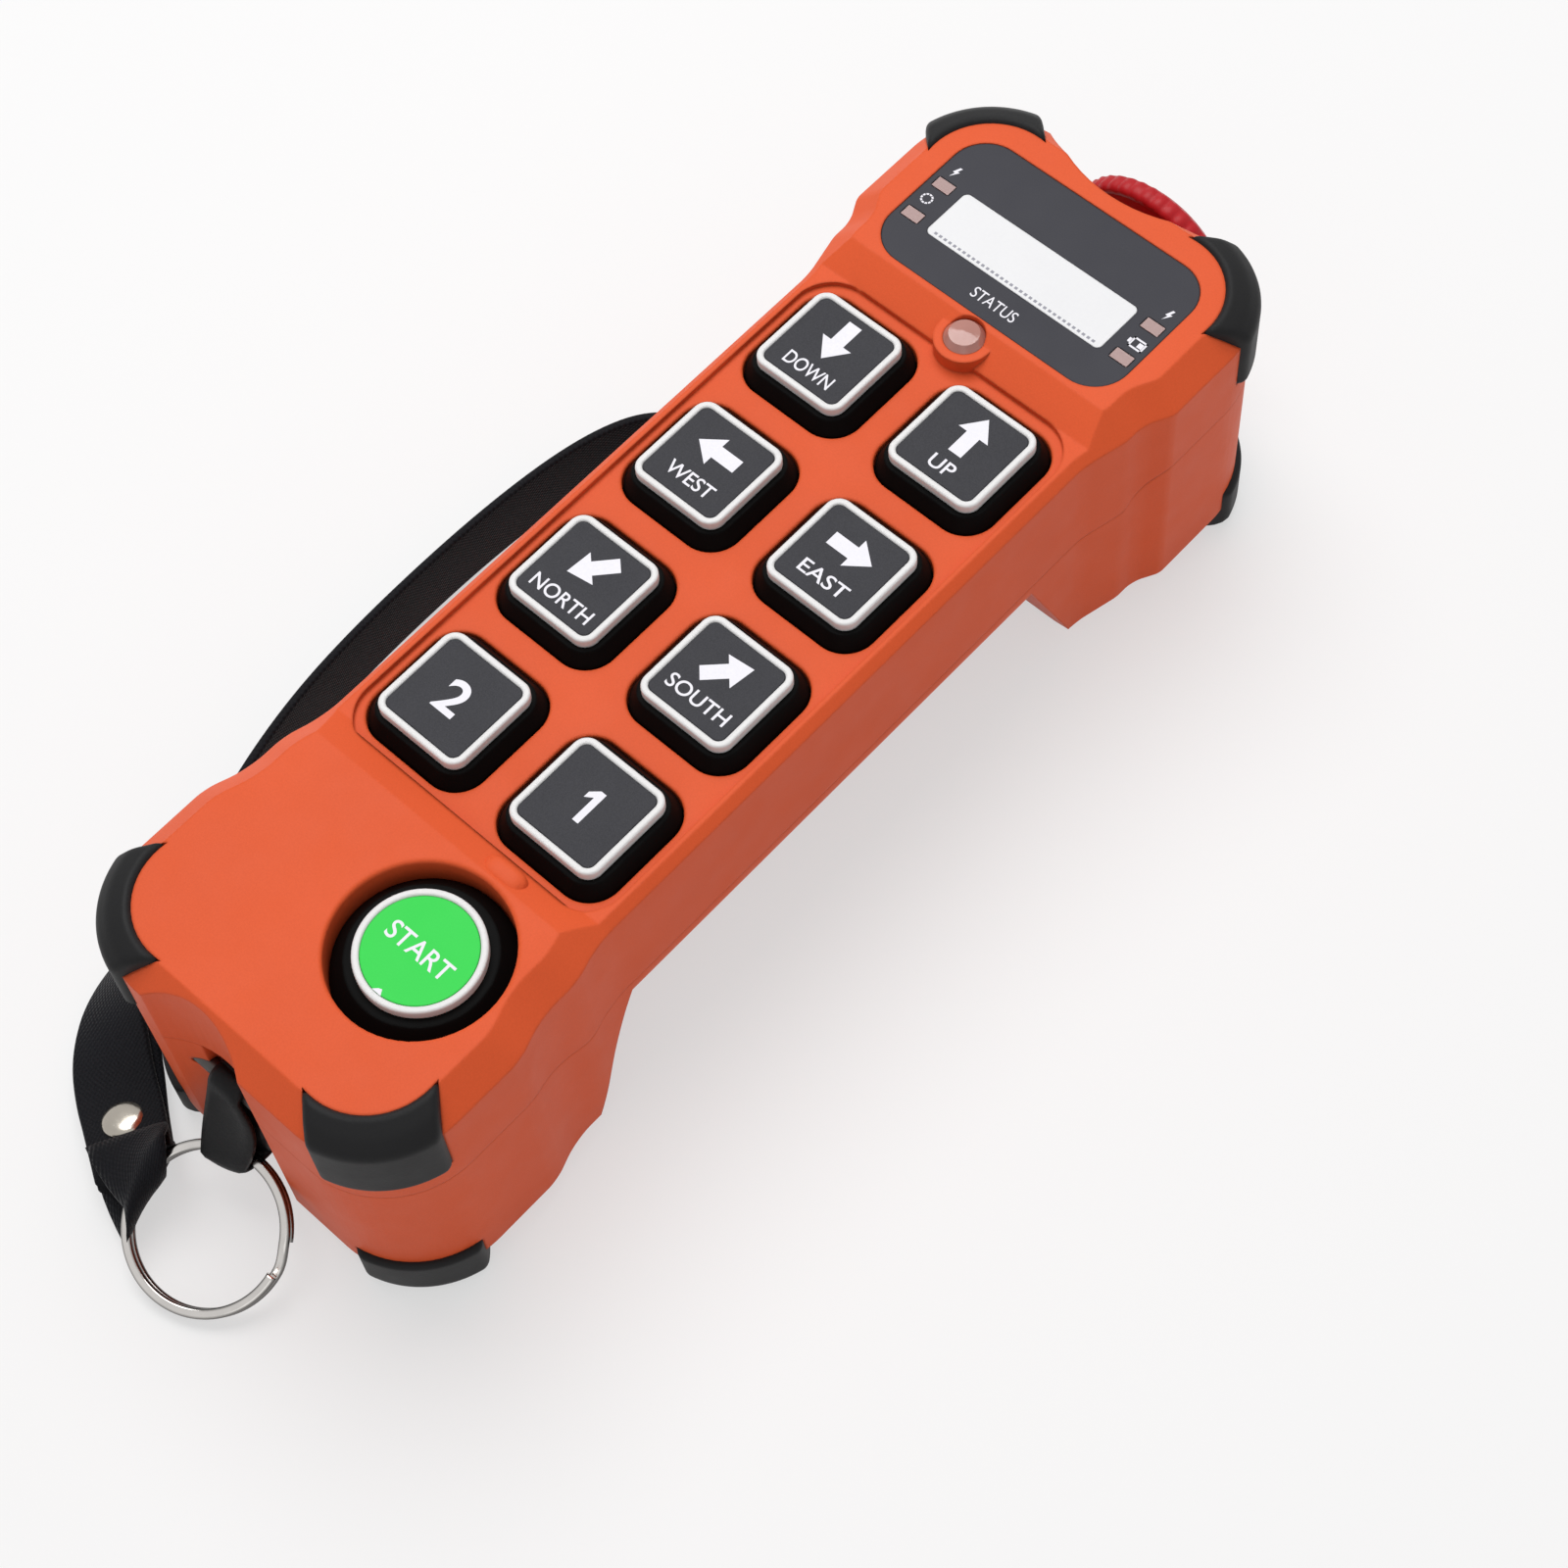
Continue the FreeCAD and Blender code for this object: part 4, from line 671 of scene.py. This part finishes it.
for name, legend in LEGENDS.items():
    new_piece("legend_" + name, arrow_legend(name, *legend), "key_" + name, INK)
two_mesh = lettering("legend_two", "2", top_middle("insert_two"), TWO_WIDTH, DIGIT_HEIGHT, DIGIT_BOLDNESS)
new_piece("legend_two", two_mesh, "key_two", INK)
one_top = top_middle("insert_one")
new_piece("legend_one", plate("legend_one", [figure_one(one_top.x, one_top.y)], one_top.z), "key_one", INK)
new_piece("legend_start", start_legend(), "key_start", INK)

# Display prints

STATUS_WIDTH = 7.9 * MM
STATUS_HEIGHT = 1.95 * MM
STATUS_DROP = 3.5 * MM
LAMP_INSET = 1.2 * MM
BOLT_RISE = 2 * MM
CELL_RISE = 4 * MM
RING_RISE = 4.4 * MM
RING_MARK = 1.0 * MM
RING_BARS = 10
RING_FILL = 0.72
RING_HOLE = 0.7
BOLT = [(0.1, 1.1), (0.5, 1.1), (0.2, 0.3), (0.6, 0.3), (-0.3, -1.1), (0.0, -0.1), (-0.4, -0.1)]
CELL_BARS = [
    (0, 0.8, 2.4, 0.3), (0, -0.8, 2.4, 0.3), (-1.05, 0, 0.3, 1.9), (1.05, 0, 0.3, 1.9), (-1.4, 0, 0.5, 0.8),
    (0.5, 0, 0.9, 0.9),
]
TICKS = 34
TICK_MARGIN = 1.5 * MM
TICK_RISE = 0.5 * MM
TICK_HEIGHT = 0.45 * MM
TICK_FILL = 0.56
TICK_DEPTH = 0.02 * MM


def bolt_mark(x, y):
    """Small lightning mark."""
    return [(x + u * MM, y + v * MM) for u, v in BOLT]


def cell_mark(x, y):
    """Small battery mark: a frame of four bars, its pole and its charge."""
    return [rectangle(x + u * MM, y + v * MM, w * MM, h * MM) for u, v, w, h in CELL_BARS]


def ring_mark(x, y):
    """Small plain ring drawn as short bars."""
    bars = []
    for i in range(RING_BARS):
        a = 2 * math.pi * i / RING_BARS
        b = 2 * math.pi * (i + RING_FILL) / RING_BARS
        corners = ((1, a), (1, b), (RING_HOLE, b), (RING_HOLE, a))
        bars.append([(x + RING_MARK * r * math.cos(t), y + RING_MARK * r * math.sin(t)) for r, t in corners])
    return bars


def panel_print():
    """The word under the window, and the marks beside the indicator lenses."""
    height = top_middle("display_panel").z
    window_low, window_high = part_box("display_window")
    lamp_low, lamp_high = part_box("indicator_lenses")
    left = lamp_low.x + LAMP_INSET
    right = lamp_high.x - LAMP_INSET
    word_place = ((window_low.x + window_high.x) / 2, window_low.y - STATUS_DROP, height)
    word = lettering("status", "STATUS", word_place, STATUS_WIDTH, STATUS_HEIGHT, 0)
    marks = [bolt_mark(x, lamp_high.y + BOLT_RISE) for x in (left, right)]
    marks += cell_mark(right, lamp_low.y + CELL_RISE)
    marks += ring_mark(left, lamp_low.y + RING_RISE)
    return joined("panel_print", [word, plate("marks", marks, height)])


def display_ticks():
    """Row of short ticks along the window's lower edge."""
    low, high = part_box("display_window")
    first = low.x + TICK_MARGIN
    step = (high.x - TICK_MARGIN - first) / (TICKS - 1)
    y = low.y + TICK_RISE + TICK_HEIGHT / 2
    ticks = [rectangle(first + step * i, y, step * TICK_FILL, TICK_HEIGHT) for i in range(TICKS)]
    return plate("display_ticks", ticks, high.z, TICK_DEPTH)


new_piece("panel_print", panel_print(), "housing", INK)
new_piece("display_ticks", display_ticks(), "housing", DARK_INK)

# Split ring: two turns of flat wire with stepped ends

RING_RADIUS = 11.65 * MM
WIRE_HEIGHT = 1.05 * MM
WIRE_ROUND = 0.52 * MM
WIRE_ROUND_STEPS = 5
WIRE_STEP = 3
TURN_RISE = 0.66 * MM
SPLIT_TOWARDS = Vector((0.85, 0.53, 0))
STEP_START = 338
STEP_END = 360
ring_joint = next(joint for joint in frame["joints"] if joint["name"] == "ring_turn")
ring_centre = Vector(ring_joint["pos_m"])
ring_normal = Vector(ring_joint["axis"]).normalized()


def rounded_bar(width, height, radius, steps=3):
    """Profile of a flat bar with rounded edges."""
    points = []
    for cx, cy, start_angle in ((1, 1, 0), (-1, 1, 90), (-1, -1, 180), (1, -1, 270)):
        for k in range(steps + 1):
            angle = math.radians(start_angle + 90 * k / steps)
            points.append((cx * (width / 2 - radius) + radius * math.cos(angle),
                           cy * (height / 2 - radius) + radius * math.sin(angle)))
    return points


def run_lengths(line):
    """Distance along a line at each of its points."""
    lengths = [0.0]
    for before, after in zip(line, line[1:]):
        lengths.append(lengths[-1] + (after - before).length)
    return lengths


def skin(name, rows, lengths):
    """Closed strip from rows of (point, sideways) pairs, with coordinates along and across it."""
    made = bmesh.new()
    uv = made.loops.layers.uv.new("UVMap")
    rings = [[(made.verts.new(point), s) for point, s in row] for row in rows]
    count = len(rings[0])
    for i in range(len(rings) - 1):
        for k in range(count):
            j = (k + 1) % count
            corners = (rings[i][k], rings[i][j], rings[i + 1][j], rings[i + 1][k])
            face = made.faces.new([vertex for vertex, s in corners])
            face.smooth = True
            for loop, (vertex, s), at in zip(face.loops, corners, (i, i, i + 1, i + 1)):
                loop[uv].uv = (lengths[at], s)
    for ring_row in (rings[0], rings[-1]):
        made.faces.new([vertex for vertex, s in ring_row])
    return mesh_of(name, made)


def sweep(name, centres, ups, profile):
    """Tube that carries a profile of (sideways, upward) points along a line of centres."""
    last = len(centres) - 1
    rows = []
    for i, centre in enumerate(centres):
        forward = (centres[min(i + 1, last)] - centres[max(i - 1, 0)]).normalized()
        up = (ups[i] - forward * ups[i].dot(forward)).normalized()
        sideways = forward.cross(up)
        rows.append([(centre + sideways * u + up * v, u) for u, v in profile])
    return skin(name, rows, run_lengths(centres))


def in_ring(direction):
    """Unit vector of the ring's plane nearest to a direction."""
    return (direction - ring_normal * direction.dot(ring_normal)).normalized()


def turn_height(angle):
    """Height of the wire: one turn low, a short step, one turn high."""
    share = min(1.0, max(0.0, (angle - STEP_START) / (STEP_END - STEP_START)))
    return TURN_RISE * (2 * share * share * (3 - 2 * share) - 1)


def coil_mesh():
    """Wire that goes round twice from the split."""
    split = in_ring(SPLIT_TOWARDS)
    quarter = ring_normal.cross(split)
    line = []
    for angle in range(0, STEP_END + STEP_START + 1, WIRE_STEP):
        turned = split * math.cos(math.radians(angle)) + quarter * math.sin(math.radians(angle))
        line.append(ring_centre + turned * RING_RADIUS + ring_normal * turn_height(angle))
    profile = rounded_bar(WIRE_WIDTH, WIRE_HEIGHT, WIRE_ROUND, WIRE_ROUND_STEPS)
    return sweep("ring_coil", line, [ring_normal] * len(line), profile)


ring = new_piece("ring_coil", coil_mesh(), "key_ring", RING)
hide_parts("split_ring")

# Wrist strap: flat at the ring, on its edge round the grip, and back under itself

STRAP_WIDTH = 12 * MM
STRAP_THICKNESS = 1.5 * MM
BAND_SHARE = 0.96
BAND_ROUND = 0.5 * MM
LAYER = STRAP_THICKNESS / 2
STRAP_START = 3.2 * MM
SPLINE_STEPS = 10
FOLD_TOWARDS = Vector((-0.987, -0.16, 0))
RIVET_PLACE = Vector((-22, -103.95, 4.2)) * MM
pull = in_ring(FOLD_TOWARDS)
wire_at_fold = ring_centre + pull * RING_RADIUS
along_wire = ring_normal.cross(pull)
lie = (RIVET_PLACE - wire_at_fold).normalized()
across = UP.cross(lie).normalized()
face_up = lie.cross(across)
strap_start = (wire_at_fold + lie * STRAP_START + face_up * LAYER) / MM
strap_finish = (wire_at_fold + lie * STRAP_START - face_up * LAYER) / MM
rivet_over = (RIVET_PLACE + face_up * LAYER) / MM
rivet_under = (RIVET_PLACE - face_up * LAYER) / MM
# Points in millimetres with the bank in degrees: 0 lies flat, 90 stands on its edge, 180 lies face down
ROUTE = [
    (*strap_start, 14), (*rivet_over, 3), (-26.7, -101.6, 4.3, 4), (-31.6, -98.2, 4.9, 14),
    (-36.8, -92.6, 6.2, 36), (-40.4, -83.6, 6.9, 58), (-43, -71, 6.8, 78), (-49, -51, 6.5, 88),
    (-52, -31, 6.5, 90), (-52.5, -1, 6.5, 90), (-50, 20.5, 6.5, 90), (-44, 31.5, 6.5, 90),
    (-30, 35.5, 6.5, 90), (-10, 30.5, 6.5, 90), (-12, 0, 6.5, 90), (-15, -30, 6.5, 90),
    (-25, -46, 6.5, 90), (-34, -58.8, 6.5, 92), (-38.2, -71.5, 6.5, 100), (-37.4, -82.5, 6.0, 122),
    (-35, -91.3, 4.9, 144), (-31, -97, 3.3, 166), (-26.4, -100.8, 2.6, 176), (*rivet_under, 177),
    (*strap_finish, 166),
]


def spline_points(points):
    """Points along the smooth curve that has these points as its controls."""
    curve = bpy.data.curves.new("lay", "CURVE")
    curve.dimensions = "3D"
    curve.resolution_u = SPLINE_STEPS
    spline = curve.splines.new("NURBS")
    spline.points.add(len(points) - 1)
    for control, point in zip(spline.points, points):
        control.co = (*point, 1)
    spline.order_u = 3
    spline.use_endpoint_u = True
    source = bpy.data.objects.new("lay", curve)
    mesh = bpy.data.meshes.new_from_object(source)
    found = [vertex.co.copy() for vertex in mesh.vertices]
    bpy.data.objects.remove(source)
    bpy.data.curves.remove(curve)
    bpy.data.meshes.remove(mesh)
    return found


def strap_edge(index):
    """Unit vector across the strap at a route point, from the heading and the bank there."""
    before = Vector(ROUTE[max(index - 1, 0)][:3])
    after = Vector(ROUTE[min(index + 1, len(ROUTE) - 1)][:3])
    heading = after - before
    heading.z = 0
    bank = math.radians(ROUTE[index][3])
    return heading.normalized().cross(UP) * math.cos(bank) + UP * math.sin(bank)


def strap_faces(line, edges):
    """Direction that the strap's face looks in at each point of its line."""
    faces = []
    for i, point in enumerate(line):
        heading = line[min(i + 1, len(line) - 1)] - line[max(i - 1, 0)]
        faces.append((edges[i] - point).cross(heading).normalized())
    return faces


route_line = [Vector(point[:3]) * MM for point in ROUTE]
strap_line = spline_points(route_line)
edge_line = spline_points([point + strap_edge(i) * STRAP_WIDTH / 2 for i, point in enumerate(route_line)])
band = rounded_bar(STRAP_WIDTH, STRAP_THICKNESS * BAND_SHARE, BAND_ROUND)
strap_mesh = sweep("strap", strap_line, strap_faces(strap_line, edge_line), band)
strap = new_piece("strap", strap_mesh, "housing", STRAP)
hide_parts("wrist_strap")

# Strap end: a folded strip round the ring wire

SHEET_STEPS = 8
SHEET_EDGE = 0.6
BEND_STEP = 15
FOLD_THICKNESS = 1.3 * MM
FOLD_RADIUS = 2.25 * MM
FOLD_TAIL = 7.6 * MM
FOLD_STEPS = 5
FOLD_WIDTH = STRAP_WIDTH * 0.97
FOLD_BOW = 0.55
FOLD_SKEW = -1.4 * MM


def thick_sheet(name, line, normals, sides, widths, thickness, sag):
    """Bent strip: a line of centres, its normals, its sideways directions and how far points are pulled."""
    across_steps = [k / SHEET_STEPS - 0.5 for k in range(SHEET_STEPS + 1)]
    rows = []
    for i, centre in enumerate(line):
        row = []
        for layer, order in ((0.5, across_steps), (-0.5, across_steps[::-1])):
            for share in order:
                s = share * widths[i]
                thin = SHEET_EDGE if abs(share) == 0.5 else 1.0
                point = centre + sides[i] * s + normals[i] * thickness * layer * thin + sag(i, s)
                row.append((point, s))
        rows.append(row)
    return skin(name, rows, run_lengths(line))


def fold_mesh():
    """The strap's end: it lies on the strap, turns round the ring wire and goes back under the strap."""
    tails = [FOLD_TAIL * k / FOLD_STEPS for k in range(1, FOLD_STEPS + 1)]
    stations = [(reach, face_up) for reach in reversed(tails)]
    for angle in range(90, 271, BEND_STEP):
        turned = math.radians(angle)
        stations.append((0.0, lie * math.cos(turned) + face_up * math.sin(turned)))
    stations += [(reach, -face_up) for reach in tails]
    line = [wire_at_fold + lie * reach + out * FOLD_RADIUS for reach, out in stations]
    normals = [out for reach, out in stations]
    sides = [along_wire.lerp(across, reach / FOLD_TAIL).normalized() for reach, out in stations]

    def follow_ring(i, s):
        reach, out = stations[i]
        bow = pull * (math.sqrt(RING_RADIUS ** 2 - s ** 2) - RING_RADIUS) * FOLD_BOW
        skew = along_wire * FOLD_SKEW * out.dot(face_up)
        return (bow + skew) * (1 - reach / FOLD_TAIL)

    widths = [FOLD_WIDTH] * len(line)
    return thick_sheet("strap_fold", line, normals, sides, widths, FOLD_THICKNESS, follow_ring)


strap_fold = new_piece("strap_fold", fold_mesh(), "housing", STRAP)

# Strap rivet

RIVET_STEPS = 32
RIVET_CAP = [(0, 0.95), (1.2, 0.9), (2.2, 0.7), (2.9, 0.38), (3.25, 0.05), (3.3, -0.1), (2.8, -0.15)]


def rivet_mesh():
    """Two turned caps, over and under the strap."""
    made = bmesh.new()
    profile = [(r * MM, STRAP_THICKNESS + h * MM) for r, h in RIVET_CAP]
    profile += [(r * MM, -STRAP_THICKNESS - h * MM) for r, h in reversed(RIVET_CAP)]
    stand = UP.rotation_difference(face_up).to_matrix()
    rows = []
    for radius, height in profile:
        row = []
        for i in range(RIVET_STEPS):
            angle = 2 * math.pi * i / RIVET_STEPS
            turned = Vector((radius * math.cos(angle), radius * math.sin(angle), height))
            row.append(made.verts.new(RIVET_PLACE + stand @ turned))
        rows.append(row)
    bridge(made, rows)
    bmesh.ops.remove_doubles(made, verts=made.verts, dist=TOUCHING)
    return mesh_of("rivet", made)


rivet = new_piece("rivet", rivet_mesh(), "housing", NICKEL)
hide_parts("strap_rivet")

# Lanyard tab: a strip doubled round its bar and the ring

TAB_NARROW = 5.6 * MM
TAB_WIDE = 8.4 * MM
TAB_BELLY = 0.85
TAB_SHIFT = -0.3 * MM
TAB_THICKNESS = 1.4 * MM
BAR_TURN = 2.0 * MM
RING_TURN = 2.5 * MM
TAB_PINCH = 1.1 * MM
TAB_ROUNDING = 0.15 / MM
TAB_STEPS = 9
bar_low, bar_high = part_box("anchor_bar")
tab_low, tab_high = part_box("anchor_tab")
bar = (bar_low + bar_high) / 2
bar.x = (tab_low.x + tab_high.x) / 2
to_bar = in_ring(bar - ring_centre)
ring_at_tab = ring_centre + to_bar * RING_RADIUS
tab_down = (ring_at_tab - bar).normalized()
tab_out = RIGHT.cross(tab_down).normalized()
tab_twist = ring_normal.cross(to_bar)
if tab_twist.x < 0:
    tab_twist = -tab_twist


def tab_bend(place, radius, share, angles):
    """Bend of the tab round the bar or the ring, by angles from straight down."""
    bend = []
    for angle in angles:
        turned = math.radians(angle)
        out = tab_out * math.sin(turned) + tab_down * math.cos(turned)
        bend.append((place + out * radius, out, share))
    return bend


def tab_run(out, shares):
    """Flat run of the tab between the bar and the ring, pinched in the middle."""
    run = []
    for share in shares:
        pinched = TAB_PINCH * math.sin(math.pi * share)
        radius = BAR_TURN + (RING_TURN - BAR_TURN) * share - pinched
        run.append((bar.lerp(ring_at_tab, share) + out * radius, out, share))
    return run


def tab_mesh():
    """Strip doubled round its bar and the ring."""
    shares = [k / TAB_STEPS for k in range(1, TAB_STEPS)]
    stations = tab_bend(bar, BAR_TURN, 0, range(180, 89, -BEND_STEP))
    stations += tab_run(tab_out, shares)
    stations += tab_bend(ring_at_tab, RING_TURN, 1, range(90, -91, -BEND_STEP))
    stations += tab_run(-tab_out, shares[::-1])
    stations += tab_bend(bar, BAR_TURN, 0, range(-90, -181, -BEND_STEP))
    line = [point for point, out, share in stations]
    normals = [out for point, out, share in stations]
    sides = [RIGHT.lerp(tab_twist, share).normalized() for point, out, share in stations]
    bellies = [math.sin(math.pi * TAB_BELLY * share) for point, out, share in stations]
    widths = [TAB_NARROW + (TAB_WIDE - TAB_NARROW) * belly for belly in bellies]

    def hang(i, s):
        """Rounded bottom: the edges are drawn up where the tab turns round the ring, and it hangs askew."""
        point, out, share = stations[i]
        lift = TAB_ROUNDING * s ** 2 * max(0.0, out.dot(tab_down))
        return (tab_twist * TAB_SHIFT - tab_down * lift) * share

    return thick_sheet("tab", line, normals, sides, widths, TAB_THICKNESS, hang)


tab = new_piece("tab", tab_mesh(), "housing", TAB)
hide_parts("anchor_tab")

# Moulded bump on the slope beside the start button

BUMP_PLACE = Vector((11, -52.9, 48.55)) * MM
BUMP_HALF = Vector((3.5, 1.9, 1.7)) * MM
BUMP_FULLNESS = 0.68
BUMP_TURNS = 40
BUMP_ROWS = 16


def full(value):
    """Sine or cosine drawn out towards a box."""
    return math.copysign(abs(value) ** BUMP_FULLNESS, value)


def bump_mesh():
    """Rounded loaf: a sphere drawn out towards a box."""
    made = bmesh.new()
    rows = []
    for i in range(BUMP_ROWS + 1):
        tilt = math.pi * i / BUMP_ROWS
        row = []
        for k in range(BUMP_TURNS):
            angle = 2 * math.pi * k / BUMP_TURNS
            flat = full(math.sin(tilt))
            point = (flat * full(math.cos(angle)), flat * full(math.sin(angle)), full(math.cos(tilt)))
            row.append(made.verts.new(BUMP_PLACE + Vector(u * half for u, half in zip(point, BUMP_HALF))))
        rows.append(row)
    bridge(made, rows)
    bmesh.ops.remove_doubles(made, verts=made.verts, dist=TOUCHING)
    return mesh_of("slope_bump", made)


new_piece("slope_bump", bump_mesh(), "housing", ORANGE)

# Stop head: ribs round its edge

RIBS = 40
RIB_STEPS = RIBS * 6
RIB_RISE = 0.32 * MM
RIB_SINK = 0.05 * MM
GRIP_BEVEL = 0.55 * MM
GRIP_DEPTH = 1.2 * MM
GRIP_BACK = 0.42
GRIP_FRONT = 0.86
GRIP_ROWS = [(GRIP_BACK, GRIP_BEVEL), (0.5, 0.0), (0.78, 0.0), (GRIP_FRONT, GRIP_BEVEL)]
head_low, head_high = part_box("estop_head")
head_axis = (head_low + head_high) / 2
head_radius = (head_high.x - head_low.x) / 2


def head_row(made, share, rise, sink):
    """Row of points round the head's axis at a share of its thickness, lifted and lowered as ribs."""
    y = head_low.y + (head_high.y - head_low.y) * share
    row = []
    for k in range(RIB_STEPS):
        angle = 2 * math.pi * k / RIB_STEPS
        radius = head_radius + rise * abs(math.sin(angle * RIBS / 2)) - sink
        x = head_axis.x + radius * math.cos(angle)
        z = head_axis.z + radius * math.sin(angle)
        row.append(made.verts.new((x, y, z)))
    return row


def grip_mesh():
    """Band of round ribs with a plain inner side."""
    made = bmesh.new()
    rows = [head_row(made, share, RIB_RISE, RIB_SINK + bevel) for share, bevel in GRIP_ROWS]
    rows += [head_row(made, share, 0, GRIP_DEPTH) for share in (GRIP_FRONT, GRIP_BACK)]
    bridge(made, rows + rows[:1])
    return mesh_of("estop_grip", made)


new_piece("estop_grip", grip_mesh(), "estop_button", RED)

# Camera, floor and light

CAMERA_PLACE = Vector((0.18029, -0.15499, 0.42061))
CAMERA_FORWARD = Vector((-0.35631, 0.32126, -0.8774))
CAMERA_ROLL = math.radians(-6.171)
LENS_LENGTH = 73.74
SENSOR = 36.0
FLOOR_HALF = 3
FLOOR_LIFT = 0.56
FLOOR_CLOUD = 0.4
WORLD_LIGHT = 0.46
WORLD_SEEN = 0.8
LIGHT_TARGET = Vector((0, 0, 0.03))


def add_camera():
    """Camera at the photograph's place."""
    data = bpy.data.cameras.new("camera")
    data.sensor_width = SENSOR
    data.lens = LENS_LENGTH
    data.clip_start = 0.01
    data.clip_end = 20
    camera = bpy.data.objects.new("camera", data)
    bpy.context.scene.collection.objects.link(camera)
    upright = CAMERA_FORWARD.to_track_quat("-Z", "Y").to_matrix()
    turned = upright @ Matrix.Rotation(CAMERA_ROLL, 3, "Z")
    camera.matrix_world = Matrix.Translation(CAMERA_PLACE) @ turned.to_4x4()
    bpy.context.scene.camera = camera


def add_floor():
    """Wide pale table top."""
    made = bmesh.new()
    bmesh.ops.create_grid(made, x_segments=2, y_segments=2, size=FLOOR_HALF)
    thing = bpy.data.objects.new("floor", mesh_of("floor", made))
    bpy.context.scene.collection.objects.link(thing)
    paint = Shader("floor_paint", roughness=0.55)
    colour = linear("#e6e5e5")
    paint.dress(Base_Color=paint.mix(paint.noise(FLOOR_CLOUD, 2), shade(colour, 0.985), colour))
    lifted = paint.add("MixShader")
    paint.feed(lifted, 0, paint.math("MULTIPLY", paint.seen(), FLOOR_LIFT))
    paint.feed(lifted, 1, paint.surface.outputs[0])
    paint.feed(lifted, 2, paint.add("Emission").outputs[0])
    paint.feed(paint.tree.nodes["Material Output"], "Surface", lifted.outputs[0])
    thing.data.materials.append(paint.material)


def soft_light(name, place, size, power):
    data = bpy.data.lights.new(name, "AREA")
    data.shape = "DISK"
    data.size = size
    data.energy = power
    light = bpy.data.objects.new(name, data)
    bpy.context.scene.collection.objects.link(light)
    light.location = place
    light.rotation_euler = (LIGHT_TARGET - Vector(place)).to_track_quat("-Z", "Y").to_euler()


def add_world():
    """Even white surround that shows paler than the light it gives."""
    world = bpy.data.worlds.new("studio")
    world.use_nodes = True
    sky = Nodes(world.node_tree)
    surround = sky.tree.nodes["Background"]
    sky.feed(surround, "Color", (1, 1, 1, 1))
    sky.feed(surround, "Strength", sky.span(sky.seen(), 0, 1, WORLD_LIGHT, WORLD_SEEN))
    bpy.context.scene.world = world


add_camera()
add_floor()
soft_light("key", place=(-0.35, 0.25, 1.0), size=0.9, power=8.9)
soft_light("fill", place=(0.5, -0.7, 0.7), size=0.8, power=0.7)
add_world()
bpy.context.scene.view_settings.view_transform = "Standard"
